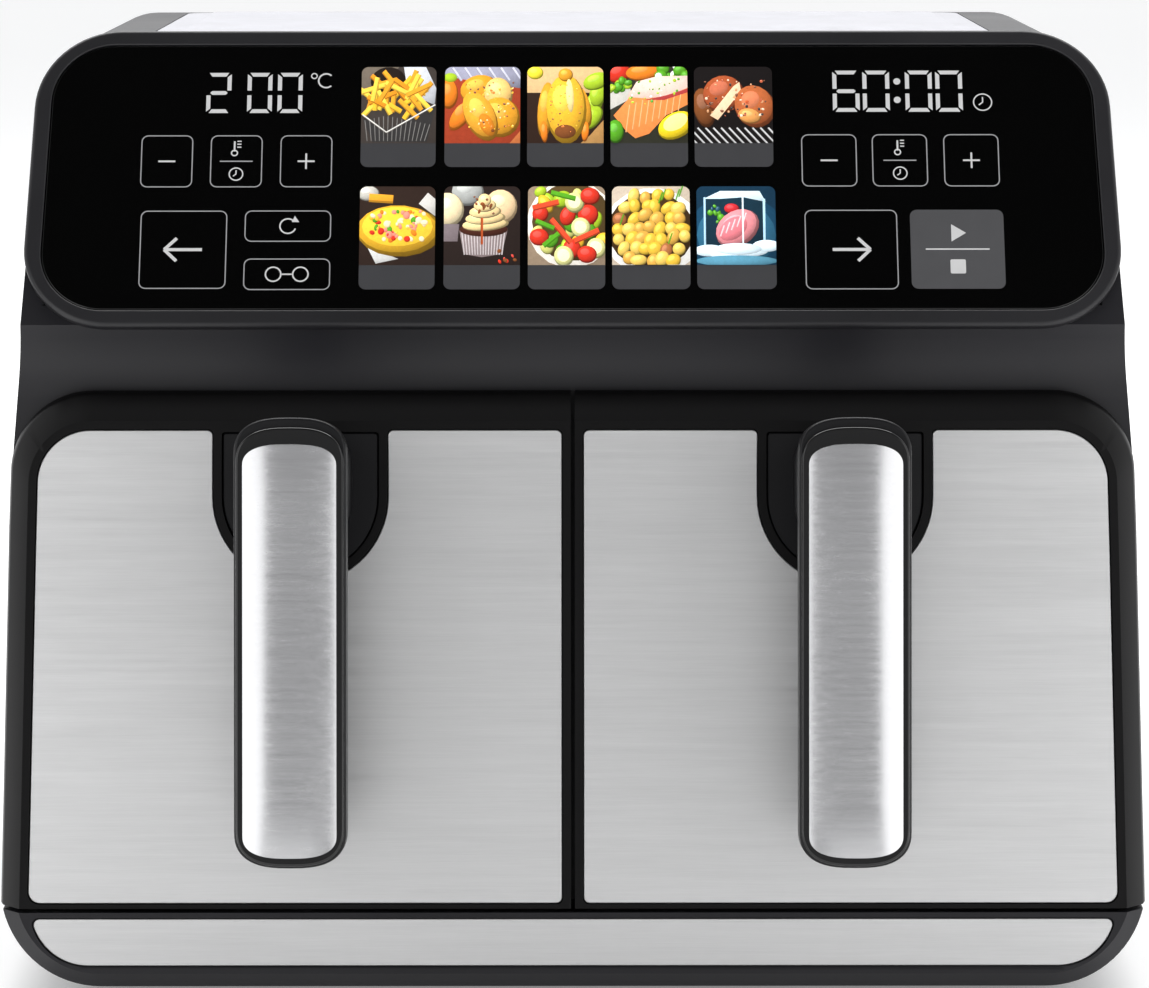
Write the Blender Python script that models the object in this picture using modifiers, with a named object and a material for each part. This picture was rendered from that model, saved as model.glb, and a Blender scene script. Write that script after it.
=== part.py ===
"""Twin-drawer air fryer, modelled piece by piece in metres with +Z up and the front facing -Y.

The doors and the base share one plane that leans back, and the control panel leans further.
Pieces of the doors are drawn in that leaning plane (across, up the plane, outwards) and stood up by
one rotation. Everything inside is placed upright. The origin is under the middle of the whole object.
"""

import math

import bmesh
import bpy
from mathutils import Matrix, Vector

MM = 0.001

# ---- overall sizes -------------------------------------------------------------------------------
HALF_WIDTH = 194.2 * MM          # half of the body's width at the floor
SIDE_LEAN = 0.0225               # each side leans in by this much of its height
WAIST = 3.3 * MM                 # each side draws in further by this much beside the panel,
WAIST_LOW = 165.0 * MM           # between these two heights
WAIST_HIGH = 240.0 * MM
HEAD_LEAN = 0.022                # further lean of each side above the waist
TOP_Z = 318.5 * MM               # top of the casing
BACK_Y = 328.0 * MM              # rear face, measured from the foot of the door plane
DOOR_LEAN = math.radians(8.35)   # doors and base lean back by this
FOOT_HEIGHT = 4.0 * MM
BASE_TOP = 30.2 * MM             # height up the door plane where the base ends
SEAM = 1.3 * MM                  # visible gap between base, doors and each other
GAP = 0.3 * MM                   # clearance between pieces that meet

# ---- casing --------------------------------------------------------------------------------------
WALL = 2.5 * MM
SHOULDER_RADIUS = 23.0 * MM
BASE_CORNER_RADIUS = 35.0 * MM
REAR_CORNER_RADIUS = 32.0 * MM
REAR_TOP_RADIUS = 45.0 * MM
REAR_COVER_DEPTH = 28.0 * MM
CHIN_Z = 200.0 * MM              # foot of the casing's front wall, behind the doors
CHIN_HOLLOW = 2.6 * MM           # depth of the hollow under the panel

# ---- doors ---------------------------------------------------------------------------------------
DOOR_TOP = 206.0 * MM            # height up the door plane
DOOR_THICKNESS = 14.0 * MM
DOOR_BEVEL_TOP = 10.5 * MM
DOOR_BEVEL_SIDE = 7.3 * MM
DOOR_BEVEL_DEPTH = 10.0 * MM
DOOR_CORNER_RADIUS = 28.0 * MM
DOOR_FACE_CORNER = 21.0 * MM
DOOR_RIM = 3.0 * MM
PLATE_THICKNESS = 1.0 * MM
PLATE_FOOT_RIM = 1.8 * MM
PLATE_CORNER = 18.0 * MM
PLATE_SUNK = 0.3 * MM

# ---- handles -------------------------------------------------------------------------------------
HANDLE_X = 91.5 * MM
CUTOUT_HALF = 29.4 * MM
CUTOUT_CENTRE = 170.0 * MM       # height of the cut-out's round end
INSERT_HALF = 26.1 * MM
INSERT_THICKNESS = 3.0 * MM
INSERT_SUNK = 0.8 * MM
HANDLE_HALF = 18.4 * MM
HANDLE_FOOT = 50.0 * MM          # lowest and highest points, up the door plane
HANDLE_HEAD = 196.0 * MM
HANDLE_REACH = 60.0 * MM         # front of the bar ahead of the door
HANDLE_THICKNESS = 18.0 * MM
HANDLE_CORNER = 13.0 * MM
NECK_HALF = 17.0 * MM
NECK_FOOT = 153.0 * MM
COVER_HALF = 15.4 * MM
COVER_MARGIN = 3.7 * MM          # bar left showing below the cover
COVER_HEAD_MARGIN = 8.8 * MM     # bar left showing above the cover
COVER_CROWN = 3.2 * MM
SCREW_RADIUS = 2.0 * MM
SCREW_HEAD_RADIUS = 4.0 * MM
SCREW_HEAD_HEIGHT = 2.2 * MM
SCREW_BITE = 14.0 * MM           # how far a handle screw goes into the neck
SCREW_HEIGHTS = (158.5 * MM, 167.5 * MM)

# ---- control panel -------------------------------------------------------------------------------
PANEL_LEAN = math.radians(29.5)
PANEL_FOOT_Y = 33.7 * MM
PANEL_FOOT_Z = 225.0 * MM
PANEL_HALF = 185.8 * MM
PANEL_HEIGHT = 110.9 * MM
PANEL_CORNER = 29.0 * MM
PANEL_CORNER_FALL = 1.3          # how fast the corners tighten as the outline is moved inwards
PANEL_TAPER = 0.15               # share of the width lost for each metre up the panel
PANEL_PROUD = 4.0 * MM
BEZEL_BAND = 5.8 * MM
BEZEL_DEPTH = 12.0 * MM
GLASS_THICKNESS = 3.0 * MM
BOARD_THICKNESS = 1.6 * MM

# ---- top plate -----------------------------------------------------------------------------------
TOP_PLATE_HALF = 148.0 * MM
TOP_PLATE_FRONT = 97.0 * MM
TOP_PLATE_BACK = 281.0 * MM
TOP_PLATE_THICKNESS = 1.2 * MM
TOP_PLATE_CORNER = 9.0 * MM
EMBOSS_MARGIN = 7.0 * MM
EMBOSS_RISE = 0.8 * MM

# ---- base ----------------------------------------------------------------------------------------
STRIP_FOOT = 12.3 * MM
STRIP_HEAD = 28.2 * MM
STRIP_INSET = 11.8 * MM
STRIP_CORNER = 19.5 * MM
STRIP_HEAD_CORNER = 2.5 * MM
STRIP_THICKNESS = 1.0 * MM
BASE_EDGE = 5.0 * MM
FOOT_RADIUS = 9.0 * MM
FOOT_EDGE = 0.8 * MM
FOOT_INSET_X = 41.6 * MM
FOOT_INSET_Y = 45.0 * MM

# ---- chambers and baskets ------------------------------------------------------------------------
CHAMBER_X = 94.5 * MM            # middle of each chamber
CHAMBER_HALF = 88.0 * MM
CHAMBER_FLOOR = 38.0 * MM
CHAMBER_ROOF = 227.0 * MM
CHAMBER_BACK = 262.0 * MM
CHAMBER_STEP_Z = 180.0 * MM      # above this the chamber starts further back
CHAMBER_STEP_Y = 69.0 * MM
SHEET = 1.0 * MM
FRAME_THICKNESS = 3.0 * MM
BASKET_HALF = 81.0 * MM
BASKET_FLOOR = 43.0 * MM
BASKET_RIM = 172.0 * MM
BASKET_BACK = 254.0 * MM
BASKET_CORNER = 16.0 * MM
BASKET_WALL = 1.5 * MM
BASKET_PLAY = 4.0 * MM           # room round the basket where it passes the front frame
CRISPER_CLEARANCE = 1.5 * MM
CRISPER_RISE = 12.0 * MM
CRISPER_SHEET = 1.5 * MM
CRISPER_SLOTS = (3, 6)
CRISPER_SLOT = (30.0 * MM, 7.0 * MM)
CRISPER_TRAVEL = 100.0 * MM

# ---- heating -------------------------------------------------------------------------------------
FAN_Y = 165.0 * MM
GUARD_Z = 184.0 * MM
GUARD_RADIUS = 74.0 * MM
COIL_Z = 200.0 * MM
COIL_TUBE = 3.2 * MM
COIL_INNER = 34.0 * MM
COIL_OUTER = 62.0 * MM
COIL_TURNS = 2.5
COIL_LEG_OFFSET = 15.0 * MM      # across, from the fan's axis to the outer leg
COIL_LEG_DROP = 7.5 * MM         # the inner leg runs back under the turns
COIL_POINTS_PER_TURN = 15
FAN_Z = 211.0 * MM
FAN_RADIUS = 60.0 * MM
FAN_HEIGHT = 9.0 * MM
FAN_BLADES = 8
SHAFT_RADIUS = 3.0 * MM
SHAFT_PLAY = 0.4 * MM
BRACKET_RADIUS = 50.0 * MM
BRACKET_THICKNESS = 1.5 * MM
MOTOR_RADIUS = 29.0 * MM
MOTOR_HEIGHT = 30.0 * MM
COOLING_RADIUS = 44.0 * MM
COOLING_HEIGHT = 8.0 * MM
SENSOR_RADIUS = 2.5 * MM
SENSOR_LENGTH = 34.0 * MM

# ---- rear ----------------------------------------------------------------------------------------
VENT_ROWS = 6
VENT_PITCH = 10.0 * MM
VENT_SLOT = (84.0 * MM, 3.6 * MM)
VENT_X = 84.0 * MM
VENT_Z = 214.0 * MM
GLAND_X = 120.0 * MM
GLAND_Z = 62.0 * MM
GLAND_RADIUS = 8.0 * MM
GLAND_BORE = 3.6 * MM
GLAND_FLANGE = 11.5 * MM
GLAND_REACH = 9.0 * MM
COVER_SCREW_X = 158.0 * MM
COVER_SCREW_HEIGHTS = (58.0 * MM, 262.0 * MM)
POWER_BOARD = (150.0 * MM, 1.6 * MM, 90.0 * MM)
POWER_BOARD_Z = 90.0 * MM
POWER_BOARD_PARTS = ((-45.0 * MM, 20.0 * MM, 18.0 * MM),    # across, up and half size of each part on it
                     (0.0 * MM, 50.0 * MM, 22.0 * MM),
                     (45.0 * MM, 20.0 * MM, 16.0 * MM))
POWER_BOARD_DEPTH = 18.0 * MM    # how far those parts stand back

ARC_STEPS = 7
SIDE_STEPS = 12                  # straight lengths that make up each side wall's outline


# ---- values that follow ---------------------------------------------------------------------------
HANDLE_FRONT = HANDLE_REACH + GAP + COVER_CROWN
FRONT_Y = (HANDLE_FOOT + COVER_MARGIN) * math.sin(DOOR_LEAN) - HANDLE_FRONT * math.cos(DOOR_LEAN)
SHIFT = Vector((0.0, -(FRONT_Y + BACK_Y + GLAND_REACH) / 2.0, 0.0))
CASING_FACE = DOOR_THICKNESS + 2.0 * GAP
SEAM_Z = BASE_TOP * math.cos(DOOR_LEAN) + SEAM
REAR_SPLIT = BACK_Y - REAR_COVER_DEPTH
MOTOR_Z = CHAMBER_ROOF + GAP + BRACKET_THICKNESS + GAP
COOLING_Z = MOTOR_Z + MOTOR_HEIGHT + 4.0 * MM


# ---- colours: name, colour, roughness, metallic ---------------------------------------------------
FINISHES = {
    "charcoal_plastic": ((0.030, 0.030, 0.034), 0.42, 0.0),
    "black_gloss": ((0.008, 0.008, 0.008), 0.12, 0.0),
    "panel_glass": ((0.004, 0.004, 0.004), 0.05, 0.0),
    "brushed_steel": ((0.55, 0.55, 0.55), 0.32, 1.0),
    "satin_steel": ((0.45, 0.45, 0.48), 0.38, 1.0),
    "coated_steel": ((0.035, 0.035, 0.036), 0.45, 0.3),
    "galvanised_steel": ((0.50, 0.50, 0.50), 0.40, 1.0),
    "heater_tube": ((0.12, 0.11, 0.10), 0.45, 1.0),
    "aluminium": ((0.60, 0.60, 0.60), 0.35, 1.0),
    "zinc_screw": ((0.45, 0.45, 0.45), 0.35, 1.0),
    "black_rubber": ((0.02, 0.02, 0.02), 0.80, 0.0),
    "circuit_board": ((0.03, 0.14, 0.06), 0.50, 0.0),
}


# ---- scene helpers --------------------------------------------------------------------------------
def clear_scene():
    """Remove every object, mesh and collection."""
    for item in list(bpy.data.objects):
        bpy.data.objects.remove(item, do_unlink=True)
    for item in list(bpy.data.meshes):
        bpy.data.meshes.remove(item)
    for item in list(bpy.data.collections):
        bpy.data.collections.remove(item)


def new_collection(name):
    collection = bpy.data.collections.new(name)
    bpy.context.scene.collection.children.link(collection)
    return collection


def finish_material(name):
    """The Principled material of one of the finishes above."""
    if name in bpy.data.materials:
        return bpy.data.materials[name]
    colour, roughness, metallic = FINISHES[name]
    material = bpy.data.materials.new(name)
    material.use_nodes = True
    shader = material.node_tree.nodes["Principled BSDF"]
    shader.inputs["Base Color"].default_value = (*colour, 1.0)
    shader.inputs["Roughness"].default_value = roughness
    shader.inputs["Metallic"].default_value = metallic
    return material


def mesh_object(name, bm, collection):
    """Turn a bmesh into an object whose normals face out."""
    bmesh.ops.recalc_face_normals(bm, faces=bm.faces[:])
    mesh = bpy.data.meshes.new(name)
    bm.to_mesh(mesh)
    bm.free()
    item = bpy.data.objects.new(name, mesh)
    collection.objects.link(item)
    return item


def part(name, bm, finish, smooth=True):
    """A piece of the object, in the main collection, with its finish."""
    item = mesh_object(name, bm, PARTS)
    item.location = SHIFT
    item.data.materials.append(finish_material(finish))
    if smooth:
        item.data.shade_smooth()
        item.data.set_sharp_from_angle(angle=math.radians(35.0))
    return item


def cutter(name, bm):
    """A solid that only cuts others; it is neither rendered nor built."""
    item = mesh_object(name, bm, CUTTERS)
    item.location = SHIFT
    item.hide_render = True
    item.display_type = "WIRE"
    return item


def boolean(item, other, operation):
    modifier = item.modifiers.new(other.name, "BOOLEAN")
    modifier.operation = operation
    modifier.solver = "EXACT"
    modifier.object = other
    return item


def cut(item, *others):
    for other in others:
        boolean(item, other, "DIFFERENCE")
    return item


def keep(item, *others):
    for other in others:
        boolean(item, other, "INTERSECT")
    return item


def join(item, *others):
    for other in others:
        boolean(item, other, "UNION")
    return item


def bevel(item, width, segments=2, angle=40.0):
    """Round the sharp edges of a piece."""
    modifier = item.modifiers.new("rounding", "BEVEL")
    modifier.width = width
    modifier.segments = segments
    modifier.limit_method = "ANGLE"
    modifier.angle_limit = math.radians(angle)
    return item


def lean_back(item, lean, foot_y=0.0, foot_z=0.0):
    """Stand a piece that was drawn flat (x across, y up, z outwards) on a leaning plane."""
    item.rotation_euler = (math.pi / 2.0 - lean, 0.0, 0.0)
    item.location = SHIFT + Vector((0.0, foot_y, foot_z))
    return item


def on_door(item):
    return lean_back(item, DOOR_LEAN)


def on_panel(item):
    return lean_back(item, PANEL_LEAN, PANEL_FOOT_Y, PANEL_FOOT_Z)


def empty_at(name, location):
    """A parent for a moving piece, on its joint's axis."""
    item = bpy.data.objects.new(name, None)
    item.location = SHIFT + Vector(location)
    item.empty_display_size = 0.02
    PARTS.objects.link(item)
    return item


def hang_on(parent, *items):
    """Parent pieces without moving them."""
    for item in items:
        item.parent = parent
        item.matrix_parent_inverse = Matrix.Translation(-parent.location)


# ---- outline helpers ------------------------------------------------------------------------------
def arc(centre, radius, start, end, steps=ARC_STEPS):
    """Points of an arc, in degrees, both ends included."""
    points = []
    for step in range(steps + 1):
        angle = math.radians(start + (end - start) * step / steps)
        points.append((centre[0] + radius * math.cos(angle), centre[1] + radius * math.sin(angle)))
    return points


def rounded_rectangle(x0, y0, x1, y1, radius, steps=ARC_STEPS):
    """Counter-clockwise outline with four round corners."""
    return (arc((x1 - radius, y0 + radius), radius, -90.0, 0.0, steps)
            + arc((x1 - radius, y1 - radius), radius, 0.0, 90.0, steps)
            + arc((x0 + radius, y1 - radius), radius, 90.0, 180.0, steps)
            + arc((x0 + radius, y0 + radius), radius, 180.0, 270.0, steps))


def u_outline(middle, half, centre, top):
    """A tab with a round lower end and a straight top."""
    return [(middle + half, top), (middle - half, top)] + arc((middle, centre), half, 180.0, 360.0, 12)


def slant(points, sign):
    """Mirror an outline to the object's other side."""
    return [(sign * x, y) for x, y in points]


def half_width(z, inset=0.0):
    """Half of the body's width at a height; the sides lean in, and draw in further at the waist."""
    share = min(max((z - WAIST_LOW) / (WAIST_HIGH - WAIST_LOW), 0.0), 1.0)
    drawn_in = WAIST * share * share * (3.0 - 2.0 * share) + HEAD_LEAN * max(z - WAIST_HIGH, 0.0)
    return HALF_WIDTH - inset - SIDE_LEAN * z - drawn_in


def lean_y(height, behind):
    """Depth of the plane that lies behind the door plane, at a height above the floor."""
    return height * math.tan(DOOR_LEAN) + behind / math.cos(DOOR_LEAN)


# ---- solid helpers --------------------------------------------------------------------------------
def loft(rings):
    """A closed solid through rings of the same number of points."""
    bm = bmesh.new()
    loops = [[bm.verts.new(point) for point in ring] for ring in rings]
    count = len(rings[0])
    for low, high in zip(loops, loops[1:]):
        for index in range(count):
            following = (index + 1) % count
            bm.faces.new((low[index], low[following], high[following], high[index]))
    bm.faces.new(loops[0][::-1])
    bm.faces.new(loops[-1])
    return bm


def prism(outline, low, high):
    """Extrude an outline in x and y along z."""
    return loft([[(x, y, low) for x, y in outline], [(x, y, high) for x, y in outline]])


def prism_x(outline, low, high):
    """Extrude an outline in y and z along x."""
    return loft([[(low, y, z) for y, z in outline], [(high, y, z) for y, z in outline]])


def prism_y(outline, low, high):
    """Extrude an outline in x and z along y."""
    return loft([[(x, low, z) for x, z in outline], [(x, high, z) for x, z in outline]])


def box(low, high):
    bm = bmesh.new()
    bmesh.ops.create_cube(bm, size=1.0)
    size = Vector(high) - Vector(low)
    bmesh.ops.scale(bm, vec=size, verts=bm.verts)
    bmesh.ops.translate(bm, vec=(Vector(high) + Vector(low)) / 2.0, verts=bm.verts)
    return bm


def cylinder(radius, low, high, centre=(0.0, 0.0), axis="Z", segments=24):
    """A cylinder from low to high along an axis; centre gives the other two coordinates in order."""
    bm = bmesh.new()
    bmesh.ops.create_cone(bm, cap_ends=True, segments=segments, radius1=radius, radius2=radius,
                          depth=high - low)
    middle = (high + low) / 2.0
    if axis == "X":
        bmesh.ops.rotate(bm, cent=(0, 0, 0), matrix=Matrix.Rotation(math.pi / 2.0, 3, "Y"), verts=bm.verts)
        place = (middle, centre[0], centre[1])
    elif axis == "Y":
        bmesh.ops.rotate(bm, cent=(0, 0, 0), matrix=Matrix.Rotation(math.pi / 2.0, 3, "X"), verts=bm.verts)
        place = (centre[0], middle, centre[1])
    else:
        place = (centre[0], centre[1], middle)
    bmesh.ops.translate(bm, vec=place, verts=bm.verts)
    return bm


def turned(name, profile, centre, finish, steps=24):
    """A turned piece: profile points are (radius, z), listed from the top of the outer side down."""
    bm = bmesh.new()
    verts = [bm.verts.new((radius, 0.0, z)) for radius, z in profile]
    for first, second in zip(verts, verts[1:]):
        bm.edges.new((first, second))
    bm.edges.new((verts[-1], verts[0]))
    item = part(name, bm, finish)
    item.location = SHIFT + Vector((centre[0], centre[1], 0.0))
    screw = item.modifiers.new("turn", "SCREW")
    screw.axis = "Z"
    screw.steps = steps
    screw.render_steps = steps
    screw.use_merge_vertices = True
    screw.merge_threshold = 0.00001
    screw.use_normal_calculate = True
    return item


# ---- casing ---------------------------------------------------------------------------------------
def body_section(inset, foot):
    """Outline of the body across, seen from the front, from a height to the top."""
    top = TOP_Z - inset
    radius = SHOULDER_RADIUS - inset
    shoulder = top - radius
    pitch = (shoulder - foot) / SIDE_STEPS
    right = [(half_width(foot + pitch * step, inset), foot + pitch * step) for step in range(SIDE_STEPS)]
    right += arc((half_width(shoulder, inset) - radius, shoulder), radius, 0.0, 90.0, 8)
    return right + [(-x, z) for x, z in reversed(right)]


def rear_plan(inset):
    """Outline of the body from above, with round rear corners; its front lies well ahead."""
    half = HALF_WIDTH + 1.0 * MM - inset
    radius = REAR_CORNER_RADIUS - inset
    back = BACK_Y - inset
    ahead = -150.0 * MM
    return ([(half, ahead)] + arc((half - radius, back - radius), radius, 0.0, 90.0)
            + arc((radius - half, back - radius), radius, 90.0, 180.0) + [(-half, ahead)])


def panel_point(up, out):
    """Depth and height of a point that lies up the panel plane and out of it."""
    return (PANEL_FOOT_Y + up * math.sin(PANEL_LEAN) - out * math.cos(PANEL_LEAN),
            PANEL_FOOT_Z + up * math.cos(PANEL_LEAN) + out * math.sin(PANEL_LEAN))


def chin_curve(inset):
    """The shallow hollow between the doors and the panel, from its foot to the panel's foot."""
    low = (lean_y(CHIN_Z, CASING_FACE + inset), CHIN_Z)
    high = panel_point(2.0 * MM, -PANEL_PROUD - inset)
    points = []
    for step in range(7):
        share = step / 6.0
        hollow = CHIN_HOLLOW * math.sin(math.pi * share)
        points.append((low[0] + (high[0] - low[0]) * share + hollow, low[1] + (high[1] - low[1]) * share))
    return points


def top_and_back(inset, foot):
    """From the head of the panel over the top and down the rear."""
    top = TOP_Z - inset
    radius = REAR_TOP_RADIUS - inset
    foot_of_slope = panel_point(0.0, -PANEL_PROUD - inset)
    rise = top - foot_of_slope[1]
    front_edge = (foot_of_slope[0] + rise * math.tan(PANEL_LEAN), top)
    return [front_edge] + arc((BACK_Y - inset - radius, top - radius), radius, 90.0, 0.0) + [(BACK_Y - inset, foot)]


def body_solid(name, inset, foot, profile):
    """The body between its three outlines, as a cutter or as the start of a shell."""
    section = prism_y(body_section(inset, foot), -160.0 * MM, BACK_Y + 20.0 * MM)
    side = cutter(name + "_side", prism_x(profile, -HALF_WIDTH * 1.2, HALF_WIDTH * 1.2))
    plan = cutter(name + "_plan", prism(rear_plan(inset), -20.0 * MM, TOP_Z + 40.0 * MM))
    return section, side, plan


def casing_profile():
    """Side outline of the casing: door plane, hollow chin, leaning panel, top and round rear."""
    foot = SEAM_Z
    return ([(lean_y(foot, CASING_FACE), foot)] + chin_curve(0.0) + top_and_back(0.0, foot))


def hollow_profile():
    """Side outline of the space inside the casing; it runs out of the front, foot and rear."""
    foot = -10.0 * MM
    ahead = -150.0 * MM
    return [(ahead, foot), (ahead, CHIN_Z)] + chin_curve(WALL) + top_and_back(WALL, foot)


def outer_casing():
    section, side, plan = body_solid("casing", 0.0, SEAM_Z, casing_profile())
    casing = part("outer_casing", section, "charcoal_plastic")
    keep(casing, side, plan)
    hollow_section, hollow_side, hollow_plan = body_solid("casing_hollow", WALL, -10.0 * MM, hollow_profile())
    hollow = cutter("casing_hollow", hollow_section)
    keep(hollow, hollow_side, hollow_plan)
    behind = cutter("behind_casing", box((-0.3, REAR_SPLIT, -0.1), (0.3, 0.6, 0.5)))
    window = on_panel(cutter("panel_window", prism(bezel_body_outline(GAP), -30.0 * MM, 10.0 * MM)))
    seat = cutter("top_plate_seat", prism(top_plate_outline(-GAP), TOP_Z - TOP_PLATE_THICKNESS - GAP,
                                          TOP_Z + 10.0 * MM))
    return cut(casing, hollow, behind, window, seat)


def vent_slots(name, low_y, high_y):
    """Two banks of level slots through the rear wall."""
    slots = []
    for sign in (-1.0, 1.0):
        for row in range(VENT_ROWS):
            z = VENT_Z + VENT_PITCH * row
            outline = rounded_rectangle(sign * VENT_X - VENT_SLOT[0] / 2.0, z - VENT_SLOT[1] / 2.0,
                                        sign * VENT_X + VENT_SLOT[0] / 2.0, z + VENT_SLOT[1] / 2.0,
                                        VENT_SLOT[1] * 0.4, 1)
            slots.append(cutter(f"{name}_{int(sign)}_{row}", prism_y(outline, low_y, high_y)))
    return slots


def rear_cover():
    """The rear shell with its vents, its cable inlet hole and its screw holes."""
    section, side, plan = body_solid("cover", 0.0, SEAM_Z, casing_profile())
    cover = part("rear_cover", section, "charcoal_plastic")
    keep(cover, side, plan)
    hollow_section, hollow_side, hollow_plan = body_solid("cover_hollow", WALL, -10.0 * MM, hollow_profile())
    hollow = cutter("cover_hollow", hollow_section)
    keep(hollow, hollow_side, hollow_plan)
    ahead = cutter("ahead_of_cover", box((-0.3, -0.3, -0.1), (0.3, REAR_SPLIT + GAP, 0.5)))
    cut(cover, hollow, ahead)
    cut(cover, *vent_slots("vent", BACK_Y - WALL - 5.0 * MM, BACK_Y + 5.0 * MM))
    inlet = cutter("inlet_hole", cylinder(GLAND_RADIUS + GAP, BACK_Y - 10.0 * MM, BACK_Y + 5.0 * MM,
                                          (GLAND_X, GLAND_Z), "Y"))
    cut(cover, inlet)
    for sign in (-1.0, 1.0):
        for height in COVER_SCREW_HEIGHTS:
            hole = cutter(f"cover_screw_hole_{int(sign)}_{height:.3f}",
                          cylinder(SCREW_RADIUS + GAP, BACK_Y - 10.0 * MM, BACK_Y + 5.0 * MM,
                                   (sign * COVER_SCREW_X, height), "Y", 12))
            cut(cover, hole)
    return cover


def pan_screw(name, head_at, tip_at, place, finish="zinc_screw"):
    """A pan-head screw along z in its own drawing plane, head first."""
    towards = 1.0 if tip_at > head_at else -1.0
    head_end = head_at + towards * SCREW_HEAD_HEIGHT
    head_low, head_high = min(head_at, head_end), max(head_at, head_end)
    shank_low, shank_high = min(head_end, tip_at) - 0.2 * MM, max(head_end, tip_at) + 0.2 * MM
    screw = part(name, cylinder(SCREW_HEAD_RADIUS, head_low, head_high, place, "Z", 16), finish)
    shank = cutter(name + "_shank", cylinder(SCREW_RADIUS, shank_low, shank_high, place, "Z", 12))
    return screw, shank


def cover_screws():
    """Four screws that hold the rear cover, heads outside."""
    for sign, side in ((-1.0, "left"), (1.0, "right")):
        for height, level in zip(COVER_SCREW_HEIGHTS, ("lower", "upper")):
            name = f"rear_screw_{side}_{level}"
            place = (sign * COVER_SCREW_X, height)
            head = part(name, cylinder(SCREW_HEAD_RADIUS, BACK_Y + GAP, BACK_Y + GAP + SCREW_HEAD_HEIGHT,
                                       place, "Y", 16), "zinc_screw")
            shank = cutter(name + "_shank", cylinder(SCREW_RADIUS, BACK_Y - 9.0 * MM, BACK_Y + 1.0 * MM,
                                                     place, "Y", 12))
            join(head, shank)


def cord_gland():
    """The cable inlet: a flange outside the rear cover, a sleeve through it and a bore."""
    gland = part("cord_gland", cylinder(GLAND_RADIUS, BACK_Y - WALL - 6.0 * MM, BACK_Y + GLAND_REACH,
                                        (GLAND_X, GLAND_Z), "Y"), "black_rubber")
    flange = cutter("gland_flange", cylinder(GLAND_FLANGE, BACK_Y + GAP, BACK_Y + GAP + 2.0 * MM,
                                             (GLAND_X, GLAND_Z), "Y"))
    bore = cutter("gland_bore", cylinder(GLAND_BORE, BACK_Y - 30.0 * MM, BACK_Y + 30.0 * MM,
                                         (GLAND_X, GLAND_Z), "Y", 16))
    join(gland, flange)
    return cut(gland, bore)


# ---- base -----------------------------------------------------------------------------------------
def base_section(inset, head):
    """Outline of the base across, with large round lower corners that end at the base's head."""
    foot = FOOT_HEIGHT + inset
    radius = BASE_CORNER_RADIUS - inset
    rise = min((head - foot) / radius, 1.0)
    knee = math.degrees(math.acos(1.0 - rise))
    right = arc((half_width(foot, inset) - radius, foot + radius), radius, -90.0, -90.0 + knee, 8)
    right.append((right[-1][0], head + GAP))
    return right + [(-x, z) for x, z in reversed(right)]


def base_profile(inset, head, ahead=0.0):
    """Side outline of the base, bevelled along its front and rear foot."""
    foot = FOOT_HEIGHT + inset
    edge = BASE_EDGE
    front = lean_y(foot + edge, inset) - ahead
    return [(front + edge * 0.8, foot), (BACK_Y - inset - edge, foot), (BACK_Y - inset, foot + edge),
            (BACK_Y - inset, head), (lean_y(head, inset) - ahead, head), (front, foot + edge)]


def base_housing():
    """The tray under everything, with a seat for the trim strip along its front."""
    head = BASE_TOP * math.cos(DOOR_LEAN)
    base = part("base_housing", prism_y(base_section(0.0, head), -160.0 * MM, BACK_Y + 20.0 * MM),
                "charcoal_plastic")
    side = cutter("base_side", prism_x(base_profile(0.0, head), -HALF_WIDTH * 1.2, HALF_WIDTH * 1.2))
    plan = cutter("base_plan", prism(rear_plan(0.0), -20.0 * MM, 100.0 * MM))
    keep(base, side, plan)
    hollow = cutter("base_hollow", prism_y(base_section(WALL, head + 20.0 * MM), -160.0 * MM, BACK_Y + 20.0 * MM))
    hollow_side = cutter("base_hollow_side", prism_x(base_profile(WALL, head + 20.0 * MM),
                                                     -HALF_WIDTH * 1.2, HALF_WIDTH * 1.2))
    hollow_plan = cutter("base_hollow_plan", prism(rear_plan(WALL), -20.0 * MM, 100.0 * MM))
    keep(hollow, hollow_side, hollow_plan)
    seat = on_door(cutter("strip_seat", prism(strip_outline(-GAP), -STRIP_THICKNESS - GAP, 20.0 * MM)))
    return cut(base, hollow, seat)


def strip_outline(inset):
    """The trim strip's outline: small upper corners, lower corners that follow the base's."""
    half = HALF_WIDTH - STRIP_INSET - inset
    low = STRIP_FOOT + inset
    high = STRIP_HEAD - inset
    radius = STRIP_CORNER
    height = high - STRIP_HEAD_CORNER - low
    sweep = math.degrees(math.acos(max(1.0 - height / radius, 0.0)))
    right = arc((half - radius, low + radius), radius, -90.0, -90.0 + sweep, 6)[:-1]
    right += arc((half - radius + radius * math.sin(math.radians(sweep)) - STRIP_HEAD_CORNER,
                  high - STRIP_HEAD_CORNER), STRIP_HEAD_CORNER, 0.0, 90.0, 4)
    return right + [(-x, y) for x, y in reversed(right)]


def base_trim_strip():
    strip = part("base_trim_strip", prism(strip_outline(0.0), -STRIP_THICKNESS, 0.0), "brushed_steel")
    return on_door(strip)


def rubber_feet():
    """Four round feet under the base."""
    for sign, side in ((-1.0, "left"), (1.0, "right")):
        for depth, end in ((FOOT_INSET_Y, "front"), (BACK_Y - FOOT_INSET_Y, "rear")):
            centre = (sign * (HALF_WIDTH - FOOT_INSET_X), depth)
            foot = cylinder(FOOT_RADIUS, 0.0, FOOT_HEIGHT - GAP, centre, "Z", 20)
            bevel(part(f"rubber_foot_{end}_{side}", foot, "black_rubber"), FOOT_EDGE, 1)


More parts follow.
